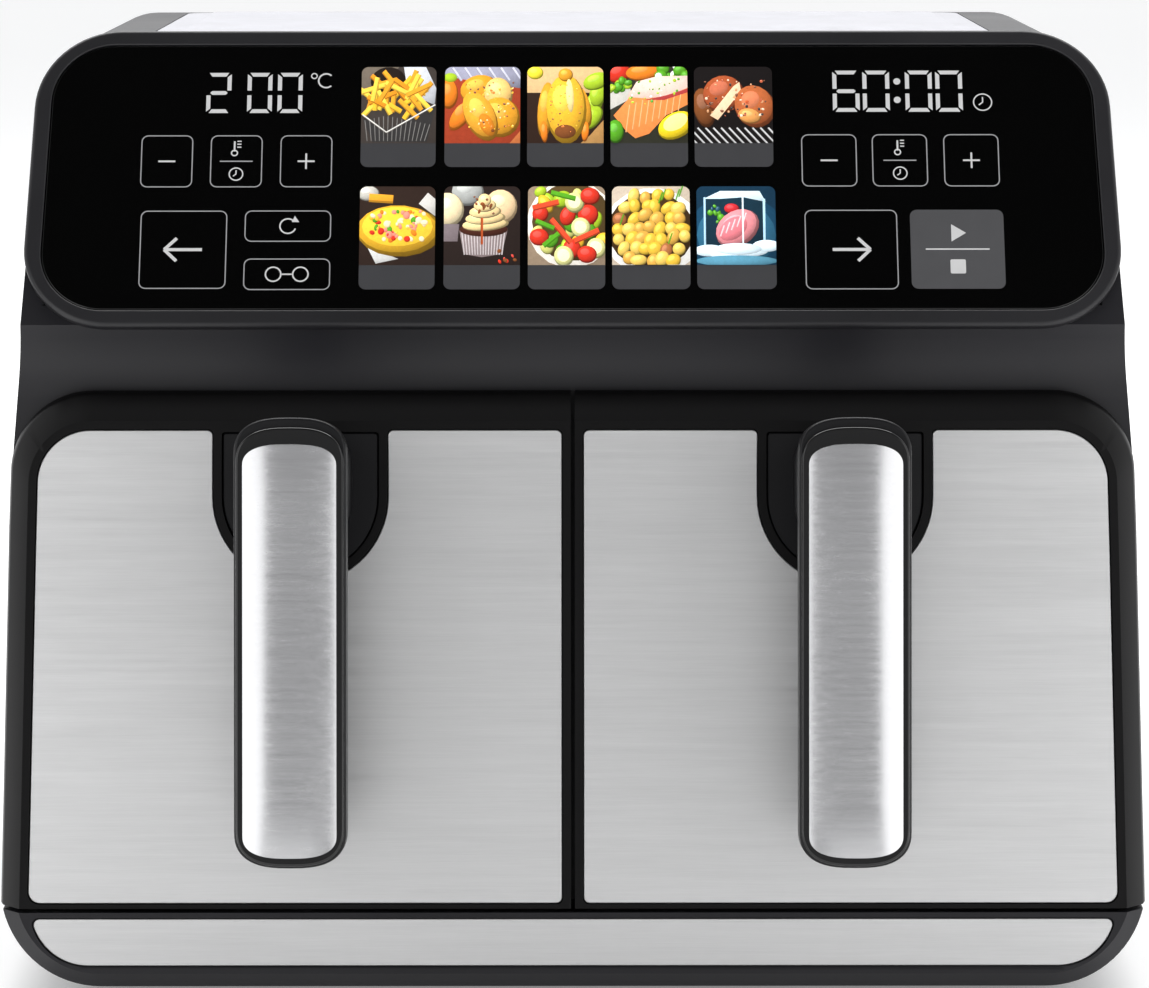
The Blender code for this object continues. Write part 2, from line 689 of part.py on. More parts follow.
# ---- control panel --------------------------------------------------------------------------------
def bezel_outline(inset, steps=ARC_STEPS):
    """The panel's outline, moved inwards; it narrows a little towards its head."""
    outline = rounded_rectangle(-PANEL_HALF + inset, inset, PANEL_HALF - inset, PANEL_HEIGHT - inset,
                                PANEL_CORNER - PANEL_CORNER_FALL * inset, steps)
    return [(x * (1.0 - PANEL_TAPER * max(y - PANEL_CORNER, 0.0)), y) for x, y in outline]


def bezel_body_outline(grow=0.0):
    """The smaller body of the bezel, which passes through the casing's window."""
    return bezel_outline(BEZEL_BAND - 1.0 * MM - grow)


def panel_bezel():
    """Raised frame round the glass, with a body that carries the glass and the display board."""
    bezel = part("panel_bezel", prism(bezel_outline(0.0), -PANEL_PROUD + GAP, 0.0), "charcoal_plastic")
    body = cutter("bezel_body", prism(bezel_body_outline(), -BEZEL_DEPTH, -1.0 * MM))
    glass_seat = cutter("glass_seat", prism(bezel_outline(BEZEL_BAND), -GLASS_THICKNESS - 2.0 * GAP, 5.0 * MM))
    window = cutter("bezel_window", prism(bezel_outline(BEZEL_BAND + 4.0 * MM), -30.0 * MM, 5.0 * MM))
    for item in (body, glass_seat, window):
        on_panel(item)
    join(bezel, body)
    cut(bezel, glass_seat, window)
    return on_panel(bezel)


def glass_panel():
    glass = part("glass_panel", prism(bezel_outline(BEZEL_BAND + GAP), -GLASS_THICKNESS - GAP, -GAP),
                 "panel_glass")
    return on_panel(glass)


def display_board():
    """The touch and display board behind the glass, with its connector."""
    margin = BEZEL_BAND + 6.0 * MM
    front = -GLASS_THICKNESS - 3.0 * GAP
    board = part("display_board", prism(bezel_outline(margin, 3), front - BOARD_THICKNESS, front),
                 "circuit_board")
    middle = PANEL_HEIGHT / 2.0
    connector = cutter("display_connector", box((-15.0 * MM, middle - 5.0 * MM, front - BOARD_THICKNESS - 6.0 * MM),
                                                (15.0 * MM, middle + 5.0 * MM, front - 0.5 * MM)))
    on_panel(connector)
    join(board, connector)
    return on_panel(board)


def top_plate_outline(inset):
    return rounded_rectangle(-TOP_PLATE_HALF + inset, TOP_PLATE_FRONT + inset, TOP_PLATE_HALF - inset,
                             TOP_PLATE_BACK - inset, TOP_PLATE_CORNER - inset)


def top_plate():
    """The inlaid plate on the top, with a raised field."""
    low = TOP_Z - TOP_PLATE_THICKNESS
    plate = part("top_plate", prism(top_plate_outline(0.0), low, TOP_Z), "satin_steel")
    field = cutter("top_field", prism(top_plate_outline(EMBOSS_MARGIN), low + 0.5 * MM,
                                      TOP_Z + EMBOSS_RISE))
    return join(plate, field)


# ---- doors and handles ----------------------------------------------------------------------------
def door_ring(sign, side_inset, top_inset, radius, out):
    """Outline of one door at a level: level foot, straight middle, round upper outer corner."""
    low = BASE_TOP + SEAM / math.cos(DOOR_LEAN) - out * math.tan(DOOR_LEAN)
    high = DOOR_TOP - top_inset
    inner = SEAM / 2.0
    z_of = math.cos(DOOR_LEAN)
    points = [(inner, low)]
    knee = high - radius
    for step in range(6):
        v = low + (knee - low) * step / 5.0
        points.append((half_width(v * z_of) - side_inset, v))
    corner = half_width(knee * z_of) - side_inset - radius
    points += arc((corner, knee), radius, 0.0, 90.0, 9)[1:]
    points.append((inner, high))
    return [(sign * x, y, out) for x, y in points]


def plate_outline(sign, grow):
    """The steel plate's outline on one door, without its cut-out."""
    low = BASE_TOP + SEAM + PLATE_FOOT_RIM - grow
    high = DOOR_TOP - DOOR_BEVEL_TOP - DOOR_RIM + grow
    inner = SEAM / 2.0 + DOOR_RIM - grow
    side_inset = DOOR_BEVEL_SIDE + DOOR_RIM - grow
    radius = PLATE_CORNER + grow
    z_of = math.cos(DOOR_LEAN)
    foot = 5.0 * MM
    knee = high - radius
    side_foot = half_width(low * z_of) - side_inset
    points = [(inner, low)] + arc((side_foot - foot, low + foot), foot, -90.0, 0.0, 4)
    points += [(half_width((low + (knee - low) * step / 4.0) * z_of) - side_inset,
                low + (knee - low) * step / 4.0) for step in range(1, 4)]
    points += arc((half_width(knee * z_of) - side_inset - radius, knee), radius, 0.0, 90.0, 8)
    points.append((inner, high))
    return slant(points, sign)


def screw_holes(name, sign, low, high):
    """Clearance holes for the two handle screws of one side, through a span of the door."""
    holes = []
    for index, height in enumerate(SCREW_HEIGHTS):
        hole = cutter(f"{name}_{index}", cylinder(SCREW_RADIUS + GAP, low, high, (sign * HANDLE_X, height),
                                                  "Z", 12))
        holes.append(on_door(hole))
    return holes


def door_frame(side, sign):
    """The black front of a drawer: bevelled outside, with seats for the plate and the insert."""
    rings = [door_ring(sign, 0.0, 0.0, DOOR_CORNER_RADIUS, -DOOR_THICKNESS),
             door_ring(sign, 0.0, 0.0, DOOR_CORNER_RADIUS, -DOOR_BEVEL_DEPTH),
             door_ring(sign, DOOR_BEVEL_SIDE, DOOR_BEVEL_TOP, DOOR_FACE_CORNER, 0.0)]
    frame = part(f"{side}_door_frame", loft(rings), "charcoal_plastic")
    depth = PLATE_SUNK + PLATE_THICKNESS + GAP
    seat = on_door(cutter(f"{side}_plate_seat", prism(plate_outline(sign, GAP), -depth, 5.0 * MM)))
    land = on_door(cutter(f"{side}_plate_land", prism(u_outline(sign * HANDLE_X, CUTOUT_HALF - GAP,
                                                                CUTOUT_CENTRE, DOOR_TOP), -20.0 * MM, 20.0 * MM)))
    cut(seat, land)
    insert_seat = on_door(cutter(f"{side}_insert_seat", prism(insert_outline(sign, GAP),
                                                              -INSERT_SUNK - INSERT_THICKNESS - GAP, 5.0 * MM)))
    cut(frame, seat, insert_seat, *screw_holes(f"{side}_frame_hole", sign, -30.0 * MM, 0.0))
    return on_door(frame)


def door_plate(side, sign):
    """The steel face of a door, with the cut-out round the handle's root."""
    plate = part(f"{side}_door_plate", prism(plate_outline(sign, 0.0), -PLATE_SUNK - PLATE_THICKNESS,
                                             -PLATE_SUNK), "brushed_steel")
    notch = on_door(cutter(f"{side}_plate_notch", prism(u_outline(sign * HANDLE_X, CUTOUT_HALF,
                                                                  CUTOUT_CENTRE, DOOR_TOP), -9.0 * MM, 9.0 * MM)))
    return on_door(cut(plate, notch))


def insert_outline(sign, grow):
    top = DOOR_TOP - DOOR_BEVEL_TOP - DOOR_RIM - 1.2 * MM + grow
    return u_outline(sign * HANDLE_X, INSERT_HALF + grow, CUTOUT_CENTRE, top)


def handle_insert(side, sign):
    insert = part(f"{side}_handle_insert", prism(insert_outline(sign, 0.0), -INSERT_SUNK - INSERT_THICKNESS,
                                                 -INSERT_SUNK), "charcoal_plastic")
    cut(insert, *screw_holes(f"{side}_insert_hole", sign, -30.0 * MM, 5.0 * MM))
    return on_door(insert)


def handle_bar(side, sign):
    """The hanging bar and the neck that carries it out from the door."""
    middle = sign * HANDLE_X
    outline = rounded_rectangle(middle - HANDLE_HALF, HANDLE_FOOT, middle + HANDLE_HALF, HANDLE_HEAD,
                                HANDLE_CORNER, 5)
    bar = part(f"{side}_handle_bar", prism(outline, HANDLE_REACH - HANDLE_THICKNESS, HANDLE_REACH), "black_gloss")
    rounding = bevel(bar, 4.0 * MM, 2, 60.0)
    neck_outline = rounded_rectangle(middle - NECK_HALF, NECK_FOOT, middle + NECK_HALF, HANDLE_HEAD - 6.0 * MM,
                                     9.0 * MM, 3)
    neck = on_door(cutter(f"{side}_neck", prism(neck_outline, -INSERT_SUNK + GAP,
                                                HANDLE_REACH - HANDLE_THICKNESS / 2.0)))
    join(rounding, neck)
    cut(bar, *screw_holes(f"{side}_neck_hole", sign, -10.0 * MM, SCREW_BITE + 1.0 * MM))
    return on_door(bar)


def handle_cover(side, sign):
    """The crowned steel cover on the front of the bar."""
    middle = sign * HANDLE_X
    low = HANDLE_FOOT + COVER_MARGIN
    high = HANDLE_HEAD - COVER_HEAD_MARGIN
    steps = 8
    rings = []
    for step in range(steps + 1):
        across = -1.0 + 2.0 * step / steps
        crown = COVER_CROWN * (1.0 - across * across) + 0.8 * MM * across * across
        trim = 7.0 * MM * max(abs(across) - 0.55, 0.0) / 0.45 * abs(across)
        x = middle + COVER_HALF * across
        base = HANDLE_REACH + GAP
        rings.append([(x, low + trim, base), (x, low + trim, base + crown),
                      (x, high - trim, base + crown), (x, high - trim, base)])
    cover = part(f"{side}_handle_cover", loft(rings), "brushed_steel")
    return on_door(cover)


def handle_screws(side, sign):
    """Two screws from inside the basket, through the door, into the handle's neck."""
    screws = []
    inner_face = -DOOR_THICKNESS - GAP - BASKET_WALL - GAP
    for height, level in zip(SCREW_HEIGHTS, ("lower", "upper")):
        place = (sign * HANDLE_X, height)
        screw, shank = pan_screw(f"{side}_handle_screw_{level}", inner_face - SCREW_HEAD_HEIGHT,
                                 SCREW_BITE, place)
        on_door(shank)
        join(screw, shank)
        screws.append(on_door(screw))
    return screws


# ---- front frame, chambers, baskets ---------------------------------------------------------------
def chamber_opening(sign, grow):
    """The clear opening that a basket slides through, in depth-free x and z."""
    half = BASKET_HALF + BASKET_PLAY + grow
    return rounded_rectangle(sign * CHAMBER_X - half, BASKET_FLOOR - BASKET_PLAY - grow,
                             sign * CHAMBER_X + half, BASKET_RIM + BASKET_PLAY + grow, 8.0 * MM, 4)


def front_frame():
    """The leaning frame behind the doors, with an opening for each basket."""
    low = SEAM_Z
    high = CHIN_Z - GAP
    right = [(half_width(low + (high - low) * step / 3.0, WALL + GAP), low + (high - low) * step / 3.0)
             for step in range(4)]
    section = right + [(-x, z) for x, z in reversed(right)]
    frame = part("front_frame", prism_y(section, -50.0 * MM, 150.0 * MM), "charcoal_plastic")
    slab = [(lean_y(0.0, CASING_FACE), 0.0), (lean_y(0.0, CASING_FACE + FRAME_THICKNESS), 0.0),
            (lean_y(TOP_Z, CASING_FACE + FRAME_THICKNESS), TOP_Z), (lean_y(TOP_Z, CASING_FACE), TOP_Z)]
    keep(frame, cutter("frame_slab", prism_x(slab, -0.25, 0.25)))
    for sign in (-1.0, 1.0):
        cut(frame, cutter(f"frame_opening_{int(sign)}", prism_y(chamber_opening(sign, 0.0), -0.1, 0.2)))
    return frame


def chamber_profile(inset, ahead):
    """Side outline of a chamber: its front leans with the doors, its upper part starts further back."""
    behind = CASING_FACE + FRAME_THICKNESS + GAP - ahead
    low = CHAMBER_FLOOR - SHEET + inset
    step = CHAMBER_STEP_Z - inset
    roof = CHAMBER_ROOF - inset
    return [(lean_y(low, behind), low), (CHAMBER_BACK - inset, low), (CHAMBER_BACK - inset, roof),
            (CHAMBER_STEP_Y + inset, roof), (CHAMBER_STEP_Y + inset, step), (lean_y(step, behind), step)]


def chamber_liner(side, sign):
    """The sheet-metal oven of one side, open at the front."""
    middle = sign * CHAMBER_X
    liner = part(f"{side}_chamber_liner", prism_x(chamber_profile(0.0, 0.0), middle - CHAMBER_HALF,
                                                  middle + CHAMBER_HALF), "galvanised_steel")
    hollow = cutter(f"{side}_chamber", prism_x(chamber_profile(SHEET, 60.0 * MM), middle - CHAMBER_HALF + SHEET,
                                               middle + CHAMBER_HALF - SHEET))
    shaft_hole = cutter(f"{side}_roof_hole", cylinder(SHAFT_RADIUS + 3.0 * MM, CHAMBER_ROOF - 10.0 * MM,
                                                      CHAMBER_ROOF + 10.0 * MM, (middle, FAN_Y)))
    cut(liner, hollow, shaft_hole)
    for index, leg in enumerate((coil_points()[0], coil_points()[-1])):
        hole = cutter(f"{side}_leg_hole_{index}", cylinder(COIL_TUBE + 2.0 * GAP, CHAMBER_BACK - 10.0 * MM,
                                                          CHAMBER_BACK + 10.0 * MM,
                                                          (middle + leg[0], COIL_Z + leg[2]), "Y", 12))
        cut(liner, hole)
    sensor_hole = cutter(f"{side}_sensor_hole", cylinder(SENSOR_RADIUS + GAP, CHAMBER_BACK - 10.0 * MM,
                                                         CHAMBER_BACK + 10.0 * MM, sensor_place(sign), "Y", 12))
    return cut(liner, sensor_hole)


def basket_profile(inset, ahead):
    """Side outline of a basket: its front wall leans against the door."""
    behind = DOOR_THICKNESS + GAP + inset - ahead
    low = BASKET_FLOOR + inset
    high = BASKET_RIM + (20.0 * MM if inset else 0.0)
    back = BASKET_BACK - inset
    radius = BASKET_CORNER - inset
    return ([(lean_y(low, behind) + radius, low)] + arc((back - radius, low + radius), radius, -90.0, 0.0, 5)
            + [(back, high), (lean_y(high, behind), high)]
            + [(lean_y(low + radius, behind), low + radius),
               (lean_y(low + radius * 0.3, behind) + radius * 0.3, low + radius * 0.3)])


def basket_section(sign, inset):
    """Outline of a basket across, with round lower corners, open upwards."""
    middle = sign * CHAMBER_X
    half = BASKET_HALF - inset
    radius = BASKET_CORNER - inset
    low = BASKET_FLOOR + inset
    high = BASKET_RIM + (20.0 * MM if inset else 0.0)
    return (arc((middle + half - radius, low + radius), radius, -90.0, 0.0, 5) + [(middle + half, high)]
            + [(middle - half, high)] + arc((middle - half + radius, low + radius), radius, 180.0, 270.0, 5))


def basket_plan(sign, inset):
    """Outline of a basket from above, with round rear corners; its front lies well ahead."""
    half = BASKET_HALF - inset
    return rounded_rectangle(sign * CHAMBER_X - half, -150.0 * MM, sign * CHAMBER_X + half,
                             BASKET_BACK - inset, BASKET_CORNER - inset, 5)


def basket(side, sign):
    """The cooking basket, closed all round and open at the top."""
    bin_solid = part(f"{side}_basket", prism_y(basket_section(sign, 0.0), -50.0 * MM, BASKET_BACK + 50.0 * MM),
                     "coated_steel")
    profile = cutter(f"{side}_basket_side", prism_x(basket_profile(0.0, 0.0), -0.25, 0.25))
    plan = cutter(f"{side}_basket_plan", prism(basket_plan(sign, 0.0), 0.0, TOP_Z))
    keep(bin_solid, profile, plan)
    hollow = cutter(f"{side}_basket_hollow", prism_y(basket_section(sign, BASKET_WALL), -50.0 * MM,
                                                     BASKET_BACK + 50.0 * MM))
    hollow_profile_cutter = cutter(f"{side}_basket_hollow_side", prism_x(basket_profile(BASKET_WALL, 0.0),
                                                                         -0.25, 0.25))
    hollow_plan = cutter(f"{side}_basket_hollow_plan", prism(basket_plan(sign, BASKET_WALL), 0.0, TOP_Z))
    keep(hollow, hollow_profile_cutter, hollow_plan)
    return cut(bin_solid, hollow, *screw_holes(f"{side}_basket_hole", sign, -40.0 * MM, 0.0))


def crisper_bounds(sign, inset):
    """Plan of the crisper plate, clear of the basket's walls at its height."""
    middle = sign * CHAMBER_X
    half = BASKET_HALF - BASKET_WALL - CRISPER_CLEARANCE - BASKET_CORNER * 0.35 - inset
    front = lean_y(BASKET_FLOOR + CRISPER_RISE + CRISPER_TRAVEL, DOOR_THICKNESS + GAP + BASKET_WALL)
    front += CRISPER_CLEARANCE + inset + SCREW_HEAD_HEIGHT
    back = BASKET_BACK - BASKET_WALL - CRISPER_CLEARANCE - BASKET_CORNER * 0.35 - inset
    return middle - half, front, middle + half, back


def crisper_plate(side, sign):
    """The slotted plate that food lies on, standing on a skirt inside the basket."""
    x0, y0, x1, y1 = crisper_bounds(sign, 0.0)
    foot = BASKET_FLOOR + BASKET_WALL + GAP + BASKET_CORNER * 0.2
    head = foot + CRISPER_RISE
    plate = part(f"{side}_crisper_plate", prism(rounded_rectangle(x0, y0, x1, y1, 12.0 * MM, 5), foot, head),
                 "coated_steel")
    inner = rounded_rectangle(x0 + CRISPER_SHEET, y0 + CRISPER_SHEET, x1 - CRISPER_SHEET, y1 - CRISPER_SHEET,
                              12.0 * MM - CRISPER_SHEET, 5)
    cut(plate, cutter(f"{side}_crisper_hollow", prism(inner, foot - 5.0 * MM, head - CRISPER_SHEET)))
    columns, rows = CRISPER_SLOTS
    pitch_x = (x1 - x0) / (columns + 0.5)
    pitch_y = (y1 - y0) / (rows + 0.5)
    for column in range(columns):
        for row in range(rows):
            x = (x0 + x1) / 2.0 + pitch_x * (column - (columns - 1) / 2.0)
            y = (y0 + y1) / 2.0 + pitch_y * (row - (rows - 1) / 2.0)
            outline = rounded_rectangle(x - CRISPER_SLOT[0] / 2.0, y - CRISPER_SLOT[1] / 2.0,
                                        x + CRISPER_SLOT[0] / 2.0, y + CRISPER_SLOT[1] / 2.0,
                                        CRISPER_SLOT[1] * 0.4, 1)
            slot = cutter(f"{side}_crisper_slot_{column}_{row}", prism(outline, head - 4.0 * MM, head + 4.0 * MM))
            cut(plate, slot)
    return plate


def door_switch(side, sign):
    """The microswitch behind the frame that feels a closed drawer."""
    x = sign * (CHAMBER_X - 60.0 * MM)
    z = CHAMBER_STEP_Z + 5.0 * MM
    y = lean_y(z, CASING_FACE + FRAME_THICKNESS) + 2.0 * GAP + 1.5 * MM
    return part(f"{side}_door_switch", box((x - 10.0 * MM, y, z - 2.0 * MM), (x + 10.0 * MM, y + 6.5 * MM, z + 9.0 * MM)),
                "black_gloss", smooth=False)


# ---- heating --------------------------------------------------------------------------------------
def coil_points():
    """A flat spiral about the fan's axis; its outer end runs straight back, its inner end under it."""
    back = CHAMBER_BACK + 9.0 * MM - FAN_Y
    start = math.acos(COIL_LEG_OFFSET / COIL_OUTER)
    steps = int(COIL_TURNS * COIL_POINTS_PER_TURN)
    spiral = []
    for step in range(steps + 1):
        share = step / steps
        angle = start - 2.0 * math.pi * COIL_TURNS * share
        radius = COIL_OUTER + (COIL_INNER - COIL_OUTER) * share
        spiral.append((radius * math.cos(angle), radius * math.sin(angle), 0.0))
    x, y, _ = spiral[-1]
    bend = COIL_TUBE * 2.0
    under = [(x - bend, y + bend * 0.4, -COIL_LEG_DROP * 0.3),
             (x - bend * 1.5, y + bend * 1.3, -COIL_LEG_DROP * 0.75),
             (x - bend * 1.6, y + bend * 2.4, -COIL_LEG_DROP),
             (x - bend * 1.6, back, -COIL_LEG_DROP)]
    return [(spiral[0][0], back, 0.0)] + spiral + under


def heater_coil(side, sign):
    """The tubular heating element under the fan."""
    curve = bpy.data.curves.new(f"{side}_heater_coil", "CURVE")
    curve.dimensions = "3D"
    curve.bevel_depth = COIL_TUBE
    curve.bevel_resolution = 2
    curve.use_fill_caps = True
    spline = curve.splines.new("POLY")
    points = coil_points()
    spline.points.add(len(points) - 1)
    for target, point in zip(spline.points, points):
        target.co = (*point, 1.0)
    coil = bpy.data.objects.new(f"{side}_heater_coil", curve)
    coil.location = SHIFT + Vector((sign * CHAMBER_X, FAN_Y, COIL_Z))
    curve.materials.append(finish_material("heater_tube"))
    PARTS.objects.link(coil)
    return coil


def heater_guard(side, sign):
    """The slotted round guard between the heater and the food."""
    middle = sign * CHAMBER_X
    guard = part(f"{side}_heater_guard", cylinder(GUARD_RADIUS, GUARD_Z, GUARD_Z + 1.2 * MM, (middle, FAN_Y), "Z", 36),
                 "galvanised_steel")
    rows = 7
    pitch = 2.0 * GUARD_RADIUS / (rows + 1.4)
    for row in range(rows):
        offset = pitch * (row - (rows - 1) / 2.0)
        half = math.sqrt(GUARD_RADIUS ** 2 - offset ** 2) - 11.0 * MM
        outline = rounded_rectangle(middle - half, FAN_Y + offset - 4.5 * MM, middle + half,
                                    FAN_Y + offset + 4.5 * MM, 3.6 * MM, 1)
        cut(guard, cutter(f"{side}_guard_slot_{row}", prism(outline, GUARD_Z - 5.0 * MM, GUARD_Z + 5.0 * MM)))
    return guard


def fan_wheel(name, sign, low, height, radius, finish):
    """A disc with upright radial blades and a hub bored for the shaft."""
    middle = sign * CHAMBER_X
    wheel = part(name, cylinder(radius, low, low + 1.2 * MM, (middle, FAN_Y), "Z", 32), finish)
    hub = cutter(name + "_hub", cylinder(9.0 * MM, low + 0.3 * MM, low + height, (middle, FAN_Y), "Z", 20))
    join(wheel, hub)
    for blade in range(FAN_BLADES // 2):
        bar = box((-radius * 0.94, -0.8 * MM, low + 0.4 * MM), (radius * 0.94, 0.8 * MM, low + height * 0.9))
        turn = Matrix.Rotation(math.pi * blade / (FAN_BLADES // 2) + 0.2, 3, "Z")
        bmesh.ops.rotate(bar, cent=(0, 0, 0), matrix=turn, verts=bar.verts)
        bmesh.ops.translate(bar, vec=(middle, FAN_Y, 0.0), verts=bar.verts)
        join(wheel, cutter(f"{name}_blade_{blade}", bar))
    bore = cutter(name + "_bore", cylinder(SHAFT_RADIUS + GAP, low - 5.0 * MM, low + height + 5.0 * MM,
                                           (middle, FAN_Y), "Z", 16))
    return cut(wheel, bore)


def motor_bracket(side, sign):
    """The plate on the chamber's roof that carries the motor."""
    middle = sign * CHAMBER_X
    low = CHAMBER_ROOF + GAP
    outline = rounded_rectangle(middle - BRACKET_RADIUS, FAN_Y - BRACKET_RADIUS * 0.7, middle + BRACKET_RADIUS,
                                FAN_Y + BRACKET_RADIUS * 0.7, 8.0 * MM, 3)
    bracket = part(f"{side}_motor_bracket", prism(outline, low, low + BRACKET_THICKNESS), "galvanised_steel")
    return cut(bracket, cutter(f"{side}_bracket_hole", cylinder(SHAFT_RADIUS + 3.0 * MM, low - 5.0 * MM,
                                                                low + 8.0 * MM, (middle, FAN_Y))))


def fan_motor(side, sign):
    """The motor, turned, with a bore for its shaft."""
    bore = SHAFT_RADIUS + SHAFT_PLAY
    low = MOTOR_Z
    high = MOTOR_Z + MOTOR_HEIGHT
    neck = 12.0 * MM
    profile = [(neck, high), (neck, high - 4.0 * MM), (MOTOR_RADIUS, high - 5.0 * MM),
               (MOTOR_RADIUS, low + 1.0 * MM), (MOTOR_RADIUS - 1.0 * MM, low), (bore, low), (bore, high)]
    return turned(f"{side}_fan_motor", profile, (sign * CHAMBER_X, FAN_Y), "aluminium")


def motor_shaft(side, sign):
    low = FAN_Z - 4.0 * MM
    high = COOLING_Z + COOLING_HEIGHT + 2.0 * MM
    return part(f"{side}_motor_shaft", cylinder(SHAFT_RADIUS, low, high, (sign * CHAMBER_X, FAN_Y), "Z", 16),
                "zinc_screw")


def sensor_place(sign):
    """Across and up, where the temperature sensor passes through the chamber's rear wall."""
    return (sign * CHAMBER_X + COIL_OUTER, CHAMBER_STEP_Z + 10.0 * MM)


def temperature_sensor(side, sign):
    sensor = part(f"{side}_temperature_sensor", cylinder(SENSOR_RADIUS, CHAMBER_BACK + 8.0 * MM - SENSOR_LENGTH,
                                                         CHAMBER_BACK + 8.0 * MM, sensor_place(sign), "Y", 16),
                  "zinc_screw")
    flange = cutter(f"{side}_sensor_flange", cylinder(SENSOR_RADIUS * 2.0, CHAMBER_BACK + GAP,
                                                      CHAMBER_BACK + GAP + 1.5 * MM, sensor_place(sign), "Y", 16))
    return join(sensor, flange)


def power_board():
    """The mains board behind the chambers: relay, capacitor and heat sink on one plate."""
    width, thickness, height = POWER_BOARD
    y = CHAMBER_BACK + 18.0 * MM
    low = POWER_BOARD_Z
    board = part("power_board", box((-width / 2.0, y, low), (width / 2.0, y + thickness, low + height)),
                 "circuit_board", smooth=False)
    for index, (x, z, size) in enumerate(POWER_BOARD_PARTS):
        lump = box((x - size, y + thickness * 0.5, low + z), (x + size, y + POWER_BOARD_DEPTH, low + z + size * 1.4))
        join(board, cutter(f"board_part_{index}", lump))
    return board


# ---- assembly -------------------------------------------------------------------------------------
def build_side(side, sign):
    """One drawer with its door and handle, and the oven it slides into."""
    drawer = empty_at(f"{side}_drawer_axis", (sign * HANDLE_X, 0.0, BASKET_FLOOR))
    lift = empty_at(f"{side}_crisper_axis", (sign * CHAMBER_X, FAN_Y, BASKET_FLOOR))
    spin = empty_at(f"{side}_fan_axis", (sign * CHAMBER_X, FAN_Y, FAN_Z))
    hang_on(drawer, basket(side, sign), door_frame(side, sign), door_plate(side, sign),
            handle_insert(side, sign), handle_bar(side, sign), handle_cover(side, sign),
            *handle_screws(side, sign))
    hang_on(lift, crisper_plate(side, sign))
    chamber_liner(side, sign)
    heater_guard(side, sign)
    heater_coil(side, sign)
    temperature_sensor(side, sign)
    door_switch(side, sign)
    motor_bracket(side, sign)
    fan_motor(side, sign)
    hang_on(spin, motor_shaft(side, sign),
            fan_wheel(f"{side}_hot_air_fan", sign, FAN_Z, FAN_HEIGHT, FAN_RADIUS, "aluminium"),
            fan_wheel(f"{side}_cooling_fan", sign, COOLING_Z, COOLING_HEIGHT, COOLING_RADIUS, "black_gloss"))


def build_body():
    outer_casing()
    rear_cover()
    cover_screws()
    cord_gland()
    base_housing()
    base_trim_strip()
    rubber_feet()
    panel_bezel()
    glass_panel()
    display_board()
    top_plate()
    front_frame()
    power_board()


clear_scene()
PARTS = new_collection("air_fryer")
CUTTERS = new_collection("cutters")
build_body()
build_side("left", -1.0)
build_side("right", 1.0)
bpy.context.view_layer.update()
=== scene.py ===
"""Looks of a dual-drawer air fryer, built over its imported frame.

Each sub-assembly is a class: its sizes are fields, and its methods shape the meshes and dress them.
Flat pieces are drawn on a plane (x across, y up the plane, z outwards) and set in place with it.
"""

import logging
import math
import random
from dataclasses import dataclass
from enum import Enum
from typing import Callable, Iterable, Sequence

import bmesh
import bpy
from mathutils import Matrix, Vector


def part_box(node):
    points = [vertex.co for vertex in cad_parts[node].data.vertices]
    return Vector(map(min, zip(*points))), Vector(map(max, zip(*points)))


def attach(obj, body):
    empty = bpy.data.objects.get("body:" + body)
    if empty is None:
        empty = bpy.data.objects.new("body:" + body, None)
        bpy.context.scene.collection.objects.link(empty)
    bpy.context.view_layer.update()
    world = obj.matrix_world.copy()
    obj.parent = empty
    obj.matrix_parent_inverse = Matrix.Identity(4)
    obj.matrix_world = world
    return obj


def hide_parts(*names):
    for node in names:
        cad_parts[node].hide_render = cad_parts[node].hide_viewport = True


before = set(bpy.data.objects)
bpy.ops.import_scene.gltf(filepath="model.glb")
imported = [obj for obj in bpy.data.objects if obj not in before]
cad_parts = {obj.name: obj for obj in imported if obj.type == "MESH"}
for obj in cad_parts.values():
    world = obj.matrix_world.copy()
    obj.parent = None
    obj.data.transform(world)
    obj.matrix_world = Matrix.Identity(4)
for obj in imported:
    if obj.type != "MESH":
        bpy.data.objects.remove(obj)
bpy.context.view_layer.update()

MM = 0.001
LOG = logging.getLogger("air_fryer")

Point = tuple[float, float]
Colour = tuple[float, float, float]
Numbers = Sequence[float]
Outline = Sequence[Point]
Edges = list[bmesh.types.BMEdge]
Faces = list[bmesh.types.BMFace]


# ---- shader maths
class Wire:
    """A shader value whose arithmetic adds Math nodes."""

    def __init__(self, shop: "Nodes", socket: bpy.types.NodeSocket) -> None:
        """Wrap a socket of a node tree."""
        self.shop = shop
        self.socket = socket

    def _math(self, operation: str, *values: "Wire | float") -> "Wire":
        """One Math node over these values."""
        return self.shop.add("ShaderNodeMath", {"operation": operation}, dict(enumerate(values)))

    def __add__(self, other: "Wire | float") -> "Wire":
        """self + other."""
        return self._math("ADD", self, other)

    def __sub__(self, other: "Wire | float") -> "Wire":
        """self - other."""
        return self._math("SUBTRACT", self, other)

    def __mul__(self, other: "Wire | float") -> "Wire":
        """self * other."""
        return self._math("MULTIPLY", self, other)

    def __rsub__(self, other: float) -> "Wire":
        """other - self."""
        return self._math("SUBTRACT", other, self)

    __radd__ = __add__
    __rmul__ = __mul__

    def power(self, exponent: float) -> "Wire":
        """self to a power."""
        return self._math("POWER", self, exponent)

    def spread(self, low: float, high: float, to_low: float = 0.0, to_high: float = 1.0) -> "Wire":
        """Map low..high to a new range, clamped."""
        return self.shop.add("ShaderNodeMapRange", {"clamp": True},
                             {"Value": self, "From Min": low, "From Max": high, "To Min": to_low,
                              "To Max": to_high})


